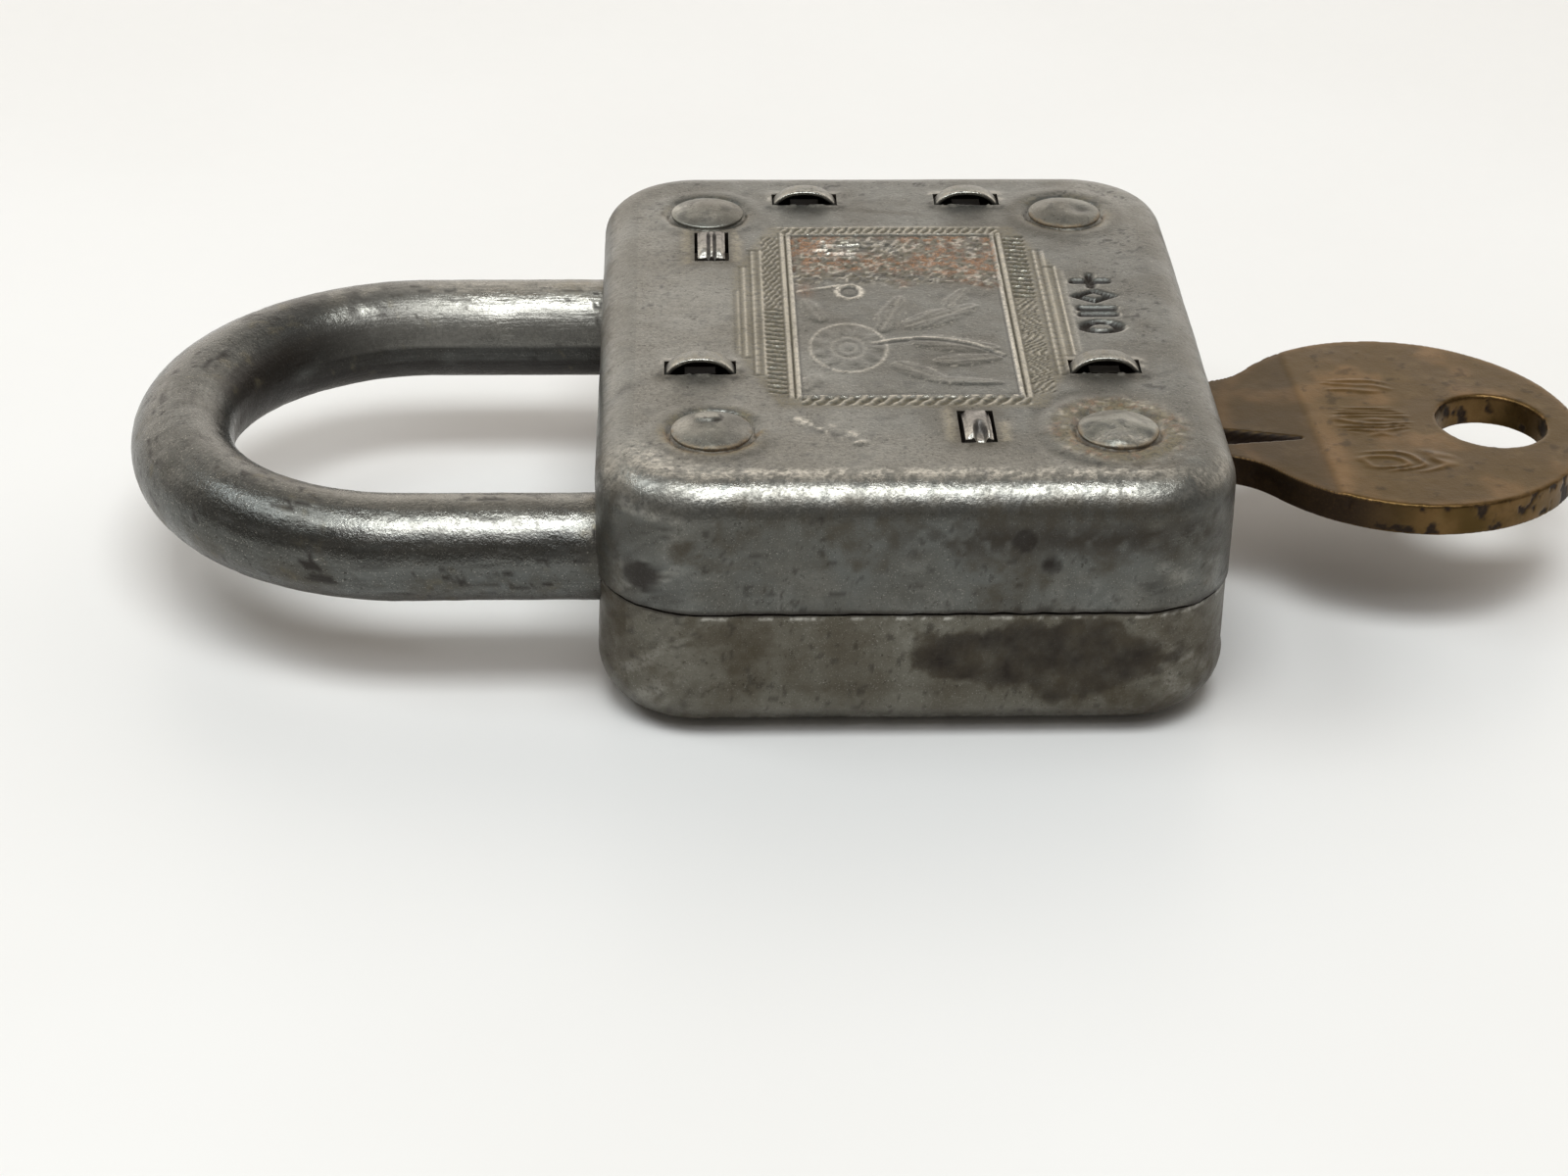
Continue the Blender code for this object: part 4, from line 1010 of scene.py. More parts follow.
def sweep_bridge(cx, cy, rise):
    """Arched strip pressed up from the face, crowned across and pinched down at both ends."""
    half_x = BRIDGE_HALF[0] - 0.06
    thick = 0.15
    section = []
    for i in range(24):
        a = 2.0 * math.pi * (i + 0.5) / 24
        c, s = math.cos(a), math.sin(a)
        u = 0.70 * np.sign(c) * abs(c) ** 0.4
        section.append((u, thick * np.sign(s) * abs(s) ** 0.5 - 0.10 * (u / 0.70) ** 2 * (u > 0)))
    path = []
    for i in range(49):
        t = -1.0 + 2.0 * i / 48
        z = TOP - 0.45 + (rise + 0.3) * max(0.0, 1.0 - abs(t) ** 2.3) ** 0.72
        path.append((cx + half_x * np.sign(t) * abs(t) ** 0.92, z))
    path = np.array(path)
    rows = []
    for i, (x, z) in enumerate(path):
        before = path[max(i - 1, 0)]
        after = path[min(i + 1, len(path) - 1)]
        along = (after - before) / np.linalg.norm(after - before)
        up = np.array([-along[1], along[0]])
        rows.append([(x + up[0] * v, cy + 0.1 + u, z + up[1] * v) for u, v in section])
    return np.array(rows)


def bridge_masks(points, cy):
    """Masks of a bridge: a painted highlight along its near edge, dirt behind it, and painted shade
    at the roots where it dips into the slot.
    """
    _, y, z = points.T
    fine = fbm(points, 0.5, 3, 91)
    lift = smoothstep(TOP - 0.2, TOP + 0.5, z)
    # Painted highlight along the strip's near edge.
    bright = lift * np.maximum(0.95 * smoothstep(-0.28, -0.46, y - cy), 0.16) * (0.8 + 0.2 * fine)
    # Dirt behind the strip, and painted shade at its low ends.
    grime_and_shade = 0.5 * smoothstep(0.35, 0.7, y - cy) * (0.6 + 0.4 * fine) + 0.3 * (1.0 - lift)
    # Painted shade where the strip dips below the face into its slot.
    dark = 0.9 * smoothstep(TOP + 0.15, TOP - 0.3, z)
    dark = np.maximum(dark, 0.75 * smoothstep(0.56, 0.68, y - cy) * smoothstep(-0.5, 0.3, fine))
    ochre = 0.4 * lift * smoothstep(0.1, 0.6, fine) + 0.3 * grime_and_shade
    return {"bright": bright, "dark": dark, "grime_and_shade": grime_and_shade, "rust": 0.1 * grime_and_shade, "ochre": ochre}


def make_front_shell(mat):
    hx = HALF_X - FRONT_R
    hy = HALF_Y - FRONT_R
    r = CORNER_R - FRONT_R
    fixed_x = []
    fixed_y = []
    for cx, cy in BRIDGES:
        fixed_x += [cx - BRIDGE_HALF[0], cx + BRIDGE_HALF[0]]
        fixed_y += [cy - BRIDGE_HALF[1], cy + BRIDGE_HALF[1] - 0.1]
    for x0, y0, x1, y1 in (KICK_WINDOW, LOCK_WINDOW):
        fixed_x += [x0, x1]
        fixed_y += [y0, y1]
    gx, gy = face_grid(FACE_STEP, fixed_x, fixed_y, hx, hy, r)
    flat = np.stack([gx, gy, np.full_like(gx, TOP)], axis=-1)
    height, masks = face_relief(flat.reshape(-1, 3))
    edge_fade = smoothstep(0.0, 0.8, np.minimum(
        half_width(gy, hx, hy, r) - np.abs(gx), hy - np.abs(gy)
    )).reshape(-1)
    lifted = flat.reshape(-1, 3).copy()
    lifted[:, 2] += height * (0.15 + 0.85 * edge_fade)
    skin = Skin()
    skin.add_grid(lifted.reshape(flat.shape))
    loop, normals = grid_rim(gx, gy, hx, hy, r)
    start = lifted.reshape(flat.shape)[tuple(np.array(loop).T)]
    profile = []
    for i in range(1, 13):
        a = math.radians(90.0 * i / 12)
        profile.append((FRONT_R * math.sin(a), TOP - FRONT_R * (1.0 - math.cos(a))))
    drop = TOP - FRONT_R - SPLIT_FRONT
    for i in range(1, 23):
        profile.append((FRONT_R, TOP - FRONT_R - drop * i / 22))
    profile += [(FRONT_R - 0.08, SPLIT_FRONT - 0.06), (FRONT_R - 0.45, SPLIT_FRONT - 0.07)]
    profile += [(FRONT_R - SHEET, SPLIT_FRONT + 0.02), (FRONT_R - SHEET, SPLIT_FRONT + 3.0)]
    rows = rim_rows(start[:, :2], normals, profile)
    rows = push_walls(rows, normals, 0.035, 101)
    for ring in rows[33:36]:
        rough_lip(ring, 0.09)
    first = start[None]
    wall = np.concatenate([first, rows])
    skin.add_grid(wall, close=True, flip=True)
    wall_part = wall_masks(skin.verts, True)
    count = len(lifted)
    share = smoothstep(TOP - 0.02, TOP - 0.9, skin.verts[:, 2])
    share[:count] = 0.0
    full = {}
    for key, values in masks.items():
        face_part = np.zeros(len(skin.verts))
        face_part[:count] = values
        rim = face_relief(skin.verts[count:])[1][key]
        face_part[count:] = rim * 0.6
        full[key] = face_part * (1.0 - share) + wall_part[key] * share
    # Lighter pitted strip along the near top edge: worn metal that also paints the lamp's highlight
    # there wider.
    inset = -skin.verts[:, 1] - hy + 1.5
    on_top = smoothstep(0.3, 1.5, inset) * (skin.verts[:, 2] > TOP - 0.6)
    pitted = smoothstep(-0.4, 0.3, 0.6 * fbm(skin.verts, 0.6, 2, 73) + fbm(skin.verts, 0.26, 2, 79))
    full["bright"] = np.maximum(full["bright"], 0.85 * on_top * (0.25 + 0.75 * pitted))
    # Lighter patch round the near-left corner: scuffed metal, and also a painted highlight carrying
    # the edge glint round the corner.
    scuff_and_highlight = bump(np.hypot(skin.verts[:, 0] + 14.6, skin.verts[:, 1] + 19.4), 3.4) * (
        skin.verts[:, 2] > TOP - 2.0
    )
    full["bright"] = np.maximum(full["bright"], 0.75 * scuff_and_highlight * (0.4 + 0.6 * pitted))
    for name in list(full):
        full[name] = list(full[name])
    down = np.array([0.0, 0.0, -1.0])
    before = len(skin.verts)
    for cx, cy in BRIDGES:
        hx2, hy2 = BRIDGE_HALF
        skin.cut(box_inside(cx - hx2, cy - hy2, cx + hx2, cy + hy2 - 0.1), down, SHEET)
    for window in (KICK_WINDOW, LOCK_WINDOW):
        skin.cut(box_inside(*window), down, SHEET)
    cut_walls(skin)
    extra = len(skin.verts) - before
    # The new rims take the painted shade of RIM_MASKS.
    for name, fill in RIM_MASKS.items():
        full[name] += [fill] * extra
    for cx, cy in BRIDGES:
        tube = sweep_bridge(cx, cy, 0.94 if cy < 0 else 0.88)
        skin.add_grid(tube, close=True, flip=True)
        part = bridge_masks(tube.reshape(-1, 3), cy)
        for name in full:
            full[name] += list(part[name])
    masks = {name: np.array(values) for name, values in full.items()}
    shell = make_object("front_shell_skin", skin.verts, skin.all_faces(), mat, masks)
    sharpen(shell, 48)
    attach(shell, "case")
    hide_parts("front_shell")
    return shell


def sharpen(obj, degrees):
    obj.data.set_sharp_from_angle(angle=math.radians(degrees))


def make_back_shell(mat):
    """Worn lower shell: a flat back, a rounded edge and a wall up to the parting line."""
    hx = HALF_X - BACK_R
    hy = HALF_Y - BACK_R
    r = CORNER_R - BACK_R
    gx, gy = face_grid(0.35, (), (), hx, hy, r)
    flat = np.stack([gx, gy, np.zeros_like(gx)], axis=-1)
    points = flat.reshape(-1, 3).copy()
    sink = np.zeros(len(points))
    for cx, cy in RIVETS.values():
        rr = np.hypot(points[:, 0] - cx, points[:, 1] - cy)
        sink = np.maximum(sink, smoothstep(2.75, 2.35, rr) * 0.45)
    wave = 0.03 * (fbm(points, 7.0, 3, 131) + 1.0)
    fade = smoothstep(0.0, 1.0, np.minimum(
        half_width(gy, hx, hy, r) - np.abs(gx), hy - np.abs(gy)
    )).reshape(-1)
    points[:, 2] += sink + wave * fade
    skin = Skin()
    skin.add_grid(points.reshape(flat.shape), flip=True)
    loop, normals = grid_rim(gx, gy, hx, hy, r)
    start = points.reshape(flat.shape)[tuple(np.array(loop).T)]
    dense, dense_n = densify(start, normals, 0.17)
    profile = []
    for i in range(1, 13):
        a = math.radians(90.0 * i / 12)
        profile.append((BACK_R * math.sin(a), BACK_R * (1.0 - math.cos(a))))
    for i in range(1, 27):
        profile.append((BACK_R - 0.10, BACK_R + (SPLIT_BACK - BACK_R) * i / 26))
    profile += [(BACK_R - 0.2, SPLIT_BACK + 0.03), (BACK_R - SHEET, SPLIT_BACK)]
    profile += [
        (BACK_R - 1.5, SPLIT_BACK), (BACK_R - 1.5, 9.5), (BACK_R - 2.3, 9.5), (BACK_R - 2.3, 4.0)
    ]
    profile[12:14] = [(BACK_R - 0.03, profile[12][1]), (BACK_R - 0.07, profile[13][1])]
    rows = rim_rows(dense[:, :2], dense_n, profile)
    rows = push_walls(rows, dense_n, 0.035, 151)
    rough_lip(rows[38], 0.12)
    rough_lip(rows[37], 0.07)
    wall = np.concatenate([dense[None], rows])
    skin.add_grid(wall, close=True)
    masks = {k: list(v) for k, v in wall_masks(skin.verts, False).items()}
    before = len(skin.verts)
    cut_walls(skin)
    # The new rims take the painted shade of RIM_MASKS.
    for name, fill in RIM_MASKS.items():
        masks[name] += [fill] * (len(skin.verts) - before)
    masks = {name: np.array(values) for name, values in masks.items()}
    shell = make_object("back_shell_skin", skin.verts, skin.all_faces(), mat, masks)
    sharpen(shell, 48)
    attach(shell, "case")
    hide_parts("back_shell")
    return shell


def rough_lip(ring, amount):
    """Uneven sheared edge along a ring."""
    ring[:, 2] += amount * (fbm(ring, 1.2, 3, 171) - 0.3)


def densify(ring, normals, step):
    """Insert points along a closed ring so that none are further apart than a step."""
    points = []
    out = []
    count = len(ring)
    for i in range(count):
        a, b = ring[i], ring[(i + 1) % count]
        na, nb = normals[i], normals[(i + 1) % count]
        pieces = max(1, int(math.ceil(np.linalg.norm(b - a) / step)))
        for k in range(pieces):
            t = k / pieces
            n = na * (1 - t) + nb * t
            points.append(a * (1 - t) + b * t)
            out.append(n / np.linalg.norm(n))
    return np.array(points), np.array(out)


# ------------------------------------------------------------------ rivets and stakes


def make_rivet(name, mat, seed, style):
    """Full rivet: a hammered low head, a shank and a flush tail."""
    cx, cy = RIVETS[name]
    steps = 72
    profile = [(2.27, TOP - 0.14), (2.32, TOP + 0.03), (2.28, TOP + 0.10)]
    for i in range(1, 26):
        q = 1.0 - i / 25
        profile.append((2.28 * q, TOP + 0.10 + 0.50 * (1.0 - q ** 1.7) ** 0.9))
    head = np.array(profile[::-1])
    tail = np.array([
        (1.4, TOP - 0.1), (1.4, 1.0), (2.1, 0.28), (2.08, 0.14),
        (1.6, 0.10), (0.8, 0.08), (0.0, 0.08),
    ])
    outline = np.vstack([head, tail])
    rows = []
    for radius, z in outline:
        row = []
        for k in range(steps):
            a = 2.0 * math.pi * k / steps
            row.append((cx + radius * math.cos(a), cy + radius * math.sin(a), z))
        rows.append(row)
    rows = np.array(rows)
    points = rows.reshape(-1, 3)
    u = points[:, 0] - cx
    v = points[:, 1] - cy
    r = np.hypot(u, v)
    on_head = (points[:, 2] > TOP) * smoothstep(2.45, 1.9, r)
    fine = fbm(points + seed, 0.7, 3, seed)
    wide = fbm(points + seed, 1.8, 2, seed + 1)
    lift = 0.045 * wide + 0.02 * fine
    dark = 0.45 * smoothstep(0.2, 0.7, fine)
    grime_and_shade = 0.35 * smoothstep(0.0, 0.6, wide)
    bright = 0.3 * smoothstep(0.3, 0.8, -wide)
    if style == "peak":
        d = np.hypot(u + 0.25, 1.1 * (v - 0.75)) + 0.12 * fine
        lift += 0.17 * smoothstep(0.95, 0.65, d) - 0.07 * bump(np.hypot(u - 1.1, v - 0.1), 0.7)
        # Dark outline on the facet's right and far edge, and a darker right half of the head:
        # painted shade on one side of the raised facet.
        outline = bump(d - 0.86, 0.15) * smoothstep(-0.5, 0.3, u + 0.25 + 0.4 * (v - 0.75))
        dark = np.maximum(0.6 * dark, 0.9 * outline)
        dark = np.maximum(dark, 0.36 * smoothstep(0.4, 1.1, u + 0.3 * fine))
        bright = np.maximum(bright, 0.3 * smoothstep(0.8, 0.5, d))
        grime_and_shade *= 0.4
    elif style == "crater":
        lift -= 0.26 * bump(np.hypot(u - 0.9, v + 0.1), 0.75) - 0.10 * bump(
            np.hypot(u + 0.5, v - 0.4), 0.9
        )
        dark = np.maximum(dark, 0.7 * bump(np.hypot(u - 1.1, v), 0.75))
        grime_and_shade = np.maximum(grime_and_shade, 0.5 * bump(np.hypot(u + 0.1, v - 0.9), 0.9))
    elif style == "facets":
        lift += 0.07 * np.cos(4.0 * np.arctan2(v, u) + 0.7) * smoothstep(0.4, 1.8, r)
        lift -= 0.10 * smoothstep(0.7, 1.7, v + 0.2 * u)
        grime_and_shade = np.maximum(0.5 * grime_and_shade, 0.5 * bump(np.hypot(u + 0.9, v - 0.9), 0.7))
        bright = np.maximum(bright, 0.8 * bump(v + 1.6, 0.5) * smoothstep(0.0, 0.5, fine + 0.3))
        dark = np.maximum(dark, 0.8 * bump(np.hypot(u - 1.7, v + 1.0), 0.35))
    else:
        lift *= 0.5
    points = points.copy()
    points[:, 2] += lift * on_head
    limit = TOP + 0.78
    points[:, 2] = np.minimum(points[:, 2], limit)
    rim = bump(r - 2.3, 0.16)
    ragged = smoothstep(-0.4, 0.4, fine - 0.4 * np.sign(v)) * (style != "smooth")
    skin = Skin()
    skin.add_grid(points.reshape(rows.shape), close=True, flip=True)
    masks = {
        "bright": bright, "dark": dark, "rust": 0.30 * rim * ragged,
        "grime_and_shade": np.maximum(grime_and_shade, 0.55 * rim * ragged), "ochre": 0.8 * rim * ragged,
    }
    rivet = make_object(name + "_peened", skin.verts, skin.all_faces(), mat, masks)
    sharpen(rivet, 50)
    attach(rivet, "case")
    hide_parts(name)


def stake_block(name, window, mat, style, node):
    """Anchor with a chisel-struck tenon that stands a little above the face."""
    x0, y0, x1, y1 = window
    left, right, front, back = (
        (0.26, 0.22, 0.26, 0.04) if style == "punch" else (0.2, 0.24, 0.72, 0.06)
    )
    width = x1 - x0 - left - right
    length = y1 - y0 - front - back
    cols = 45
    rows = 70
    u = np.linspace(0.0, 1.0, cols)
    v = np.linspace(0.0, 1.0, rows)
    uu, vv = np.meshgrid(u, v)
    flat = np.stack([uu * width, vv * length, np.zeros_like(uu)], axis=-1).reshape(-1, 3)
    rough = fbm(flat + 7.0, 0.6, 3, 201).reshape(uu.shape)
    top = np.full_like(uu, TOP + 0.26) + 0.02 * rough
    far_end = (1 - vv) * length + (0.6 if style == "punch" else 0.0)
    edge = np.minimum(np.minimum(uu, 1 - uu) * width, np.minimum(vv * length, far_end))
    top -= 0.20 * (1.0 - smoothstep(0.0, 0.30, edge))
    if style == "bars":
        for at, deep in ((0.40, 0.26), (0.62, 0.26)):
            top -= deep * bump((uu - at) * width, 0.09) * smoothstep(1.0, 0.7, vv)
        top += 0.14 * (1.0 - smoothstep(0.0, 0.7, np.abs(uu - 0.5) * 2.0)) * (1.0 - vv)
        top -= 0.22 * smoothstep(0.22, 0.0, vv)
        dark = 0.75 * np.maximum(bump((uu - 0.40) * width, 0.07), bump((uu - 0.62) * width, 0.07))
    else:
        d = np.hypot((uu - 0.55) * width / 0.42, (vv - 0.16) * length / 1.25)
        top -= 0.40 * (1.0 - smoothstep(0.45, 1.05, d))
        top += 0.10 * bump(d - 1.15, 0.22)
        top -= 0.22 * smoothstep(0.55, 1.0, vv)
        dark = 0.75 * bump(d - 0.72, 0.26) * smoothstep(0.1, 0.5, vv)
    bright = (0.25 + 0.6 * smoothstep(0.5, 0.1, vv)) * smoothstep(-0.4, 0.5, rough) * (1.0 - dark)
    grid = np.stack([x0 + left + uu * width, y0 + front + vv * length, top], axis=-1)
    skin = Skin()
    skin.add_grid(grid)
    ring = np.concatenate([grid[0], grid[1:, -1], grid[-1, :-1][::-1], grid[1:-1, 0][::-1]])
    low = ring.copy()
    low[:, 2] = TOP - 1.35
    skin.add_grid(np.array([low, ring]), close=True)
    count = len(skin.verts) - len(flat)
    # The side walls down into the window are painted dark and dirty: painted shade in the slot.
    masks = {
        "bright": np.concatenate([bright.ravel(), np.zeros(count)]),
        "dark": np.concatenate([dark.ravel(), np.full(count, 0.55)]),
        "grime_and_shade": np.concatenate([0.3 * smoothstep(0.0, 0.6, -rough.ravel()), np.full(count, 0.4)]),
        "rust": np.zeros(len(skin.verts)),
        "ochre": np.zeros(len(skin.verts)),
    }
    low_corner, high_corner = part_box(node)
    a = np.array(low_corner) / MM
    b = np.array(high_corner) / MM
    foot_top = TOP - SHEET - 0.2
    corners = [(a[0], a[1]), (b[0], a[1]), (b[0], b[1]), (a[0], b[1])]
    foot = np.array([[(x, y, foot_top) for x, y in corners], [(x, y, a[2]) for x, y in corners]])
    before = len(skin.verts)
    index = skin.add_grid(foot, close=True, flip=True)
    skin.caps.append([int(i) for i in index[0]])
    skin.caps.append([int(i) for i in index[1][::-1]])
    for key in masks:
        masks[key] = np.concatenate([masks[key], np.full(len(skin.verts) - before, 0.3)])
    block = make_object(name, skin.verts, skin.all_faces(), mat, masks)
    sharpen(block, 40)
    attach(block, "case")
    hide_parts(node)


# ------------------------------------------------------------------ shackle


def bake_modifiers(obj):
    """Replace the object's mesh with its evaluated mesh."""
    bpy.context.view_layer.update()
    graph = bpy.context.evaluated_depsgraph_get()
    mesh = bpy.data.meshes.new_from_object(obj.evaluated_get(graph))
    obj.modifiers.clear()
    old = obj.data
    obj.data = mesh
    bpy.data.meshes.remove(old)


def cutter_box(low, high):
    bm = bmesh.new()
    size = (Vector(high) - Vector(low)) * MM
    centre = (Vector(high) + Vector(low)) / 2 * MM
    place = Matrix.Translation(centre) @ Matrix.Diagonal((*size, 1.0))
    bmesh.ops.create_cube(bm, size=1.0, matrix=place)
    return cutter_object(bm)


def cutter_cylinder(centre, radius, depth, segments=64):
    bm = bmesh.new()
    bmesh.ops.create_cone(
        bm, cap_ends=True, segments=segments, radius1=radius * MM, radius2=radius * MM,
        depth=depth * MM, matrix=Matrix.Translation(Vector(centre) * MM),
    )
    return cutter_object(bm)


def cutter_object(bm):
    mesh = bpy.data.meshes.new("cutter")
    bm.to_mesh(mesh)
    bm.free()
    obj = bpy.data.objects.new("cutter", mesh)
    bpy.context.scene.collection.objects.link(obj)
    return obj


def subtract(obj, cutters):
    for cutter in cutters:
        mod = obj.modifiers.new("cut", "BOOLEAN")
        mod.object = cutter
        mod.operation = "DIFFERENCE"
        mod.solver = "EXACT"
    bake_modifiers(obj)
    for cutter in cutters:
        bpy.data.objects.remove(cutter, do_unlink=True)


def shackle_line():
    """Centre line with a radius factor, rounded at both ends."""
    points = []
    for t in np.linspace(0.0, 90.0, 8):
        a = math.radians(t)
        points.append((-13.2 - 0.8 * (1.0 - math.cos(a)), -LEG_Y, 0.70 + 0.30 * math.sin(a)))
    for x in np.linspace(-14.2, CROWN_X, 80):
        points.append((x, -LEG_Y, 1.0))
    for t in np.linspace(0.0, 180.0, 190)[1:-1]:
        a = math.radians(270.0 - t)
        points.append((CROWN_X + LEG_Y * math.cos(a), LEG_Y * math.sin(a), 1.0))
    for x in np.linspace(CROWN_X, -9.4, 100):
        points.append((x, LEG_Y, 1.0))
    for t in np.linspace(90.0, 0.0, 8):
        a = math.radians(t)
        points.append((-8.2 - 0.8 * (1.0 - math.cos(a)), LEG_Y, 0.70 + 0.30 * math.sin(a)))
    return np.array(points)


def make_shackle(mat):
    """Worn round bar swept along the shackle's line, with painted highlights and painted shade in
    its masks.
    """
    line = shackle_line()
    around = 72
    rows = []
    for i, (x, y, factor) in enumerate(line):
        before = line[max(i - 1, 0)][:2]
        after = line[min(i + 1, len(line) - 1)][:2]
        along = (after - before) / np.linalg.norm(after - before)
        side = np.array([-along[1], along[0]])
        row = []
        for k in range(around):
            a = 2.0 * math.pi * k / around
            out = WIRE_R * factor
            row.append((
                x + side[0] * out * math.cos(a),
                y + side[1] * out * math.cos(a),
                LEG_Z + out * math.sin(a),
            ))
        rows.append(row)
    rows = np.array(rows)
    flat = rows.reshape(-1, 3)
    centre = np.repeat(
        np.column_stack([line[:, 0], line[:, 1], np.full(len(line), LEG_Z)]), around, axis=0
    )
    steps = np.linalg.norm(np.diff(line[:, :2], axis=0), axis=1)
    run = np.repeat(np.concatenate([[0.0], np.cumsum(steps)]), around)
    turn = np.tile(2.0 * np.pi * np.arange(around) / around, len(line))
    wire = np.column_stack([run, WIRE_R * np.cos(turn), WIRE_R * np.sin(turn)])
    out = flat - centre
    out /= np.linalg.norm(out, axis=1)[:, None]
    wave = 0.02 * fbm(flat, 5.0, 3, 301) + 0.014 * fbm(flat, 0.9, 3, 303)
    lengthwise = wire * np.array([0.3, 1.0, 1.0])
    wave -= 0.035 * smoothstep(0.35, 0.75, fbm(lengthwise, 0.45, 3, 307))
    flat = flat + out * (wave - 0.015)[:, None]
    skin = Skin()
    index = skin.add_grid(flat.reshape(rows.shape), close=True)
    skin.caps.append([int(i) for i in index[0]])
    skin.caps.append([int(i) for i in index[-1][::-1]])
    x, y, z = skin.verts.T
    crown = smoothstep(CROWN_X + 1.0, CROWN_X - 4.0, x)
    radial = np.hypot(x - CROWN_X, y)
    # Dark along the inner side of the bend and legs, weaker on the legs' upper half: painted shade
    # and painted dark reflection.
    inner = smoothstep(LEG_Y - 1.5, LEG_Y - 2.7, np.where(x < CROWN_X, radial, np.abs(y)))
    fine = fbm(skin.verts, 0.6, 3, 311)
    wide = fbm(skin.verts, 3.5, 3, 313)
    far = smoothstep(-2.0, 4.0, y)
    on_leg = smoothstep(CROWN_X - 10.0, CROWN_X, x)
    soft = 1.0 - 0.45 * on_leg * (z > LEG_Z - 1.0)
    inward = smoothstep(LEG_Y - 0.9, LEG_Y - 2.2, np.where(x < CROWN_X, radial, np.abs(y))) * (
        z < LEG_Z + 2.3
    )
    dark = 0.95 * np.maximum(inner, 0.8 * inward * far) * (0.3 + 0.7 * far) * soft * smoothstep(
        -0.9, 0.3, wide + 0.6
    )
    # Dark patch over the far-left bend: painted dark reflection.
    shade = bump(np.hypot(x + 33.5, (y - 10.0) / 1.2), 6.5)
    dark = np.maximum(dark, 0.78 * shade * smoothstep(-0.9, 0.1, wide + fine))
    # Darker, patchy underside of the near leg and crown: painted shade.
    below = smoothstep(LEG_Z + 0.8, LEG_Z - 0.8, z) * smoothstep(2.0, -4.0, y)
    grime_and_shade = 0.55 * below * smoothstep(-0.5, 0.5, wide + 0.5 * fine)
    small = fbm(wire * np.array([0.45, 1.0, 1.0]), 0.38, 3, 319)
    dark = np.maximum(
        dark, 0.9 * smoothstep(0.42, 0.58, small) * (0.25 + 0.75 * smoothstep(-0.4, 0.4, wide))
    )
    zeros = np.zeros_like(x)
    # Lighter band along the camera-facing upper side of each leg, strong on the far leg, and a
    # lighter top half: painted highlight that widens the lamp's glint.
    streaks = smoothstep(-0.6, 0.2, fbm(wire * np.array([0.2, 1.0, 1.0]), 0.5, 3, 317))
    toward = np.where(x < CROWN_X, radial * np.sign(y), y)
    off = np.where(y > 0, (toward - LEG_Y + 2.0) / 2.1, (toward + LEG_Y + 1.5) / 1.0)
    band = bump(off, 1.0) * smoothstep(CROWN_X - 9.0, CROWN_X - 1.0, x)
    strength = np.where(y > 0, 0.8 + 0.2 * streaks, 0.1 + 0.4 * streaks)
    bright = np.maximum(0.16 * on_leg * smoothstep(LEG_Z + 1.0, LEG_Z + 3.0, z), band * strength)
    bright *= z > LEG_Z
    grime_and_shade = (
        grime_and_shade
        + 0.08 * smoothstep(0.1, 0.7, wide)
        + 0.12 * crown * smoothstep(0.2, 0.6, fine) * smoothstep(0.0, -9.0, y)
    )
    grime_and_shade = np.maximum(grime_and_shade, 0.8 * smoothstep(-19.2, -18.0, x) * (0.5 + 0.5 * fine))
    ochre = 0.4 * smoothstep(0.35, 0.7, fine) * smoothstep(0.0, 0.4, wide)
    masks = {
        "bright": bright, "dark": dark, "grime_and_shade": grime_and_shade, "rust": zeros, "ochre": ochre,
        "along": run / 200.0,
        "across": 0.5 + 0.5 * np.cos(turn),
        "scuff": 0.12 + 0.88 * far * on_leg,
    }
    bar = make_object("shackle_bar", skin.verts, skin.all_faces(), mat, masks)
    subtract(bar, [
        cutter_cylinder((-11.5, 15.0, LEG_Z), 1.6, 12.0),
        cutter_box((-16.6, -LEG_Y - 4.0, 9.9), (-14.6, -LEG_Y + 4.0, LEG_Z + 5.0)),
    ])
    bar.data.shade_smooth()
    sharpen(bar, 50)
    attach(bar, "shackle")
    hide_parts("shackle")


# ------------------------------------------------------------------ key


KEY_T = 1.95
BLADE_HALF = 4.92
BLADE_TIP = -4.0
WARD_HALF = 0.85
WARD_DEPTH = 2.8
BOW = (31.3, 0.0, 11.08)
RING = (36.9, 3.4)
WARD_XS = (4.2, 7.6, 11.0)


def key_outline():
    """Half outline from the tip to the end of the bow, then mirrored."""
    edge = [(BLADE_TIP, 3.6), (BLADE_TIP + 1.3, BLADE_HALF)]
    for x in WARD_XS:
        left, right = x - WARD_HALF, x + WARD_HALF
        edge += [(left, BLADE_HALF), (left, WARD_DEPTH), (right, WARD_DEPTH), (right, BLADE_HALF)]
    fillet = 4.6
    rise = BLADE_HALF + fillet
    cx = BOW[0] - math.sqrt((BOW[2] + fillet) ** 2 - rise ** 2)
    lean = math.atan2(rise, BOW[0] - cx)
    for i in range(15):
        a = math.radians(-90.0) + (math.pi / 2 - lean) * i / 14
        edge.append((cx + fillet * math.cos(a), rise + fillet * math.sin(a)))
    start = math.degrees(math.pi - lean)
    for i in range(1, 61):
        a = math.radians(start * (1.0 - i / 60))
        edge.append((BOW[0] + BOW[2] * math.cos(a), BOW[2] * math.sin(a)))
    return edge + [(x, -y) for x, y in edge[-2::-1]]


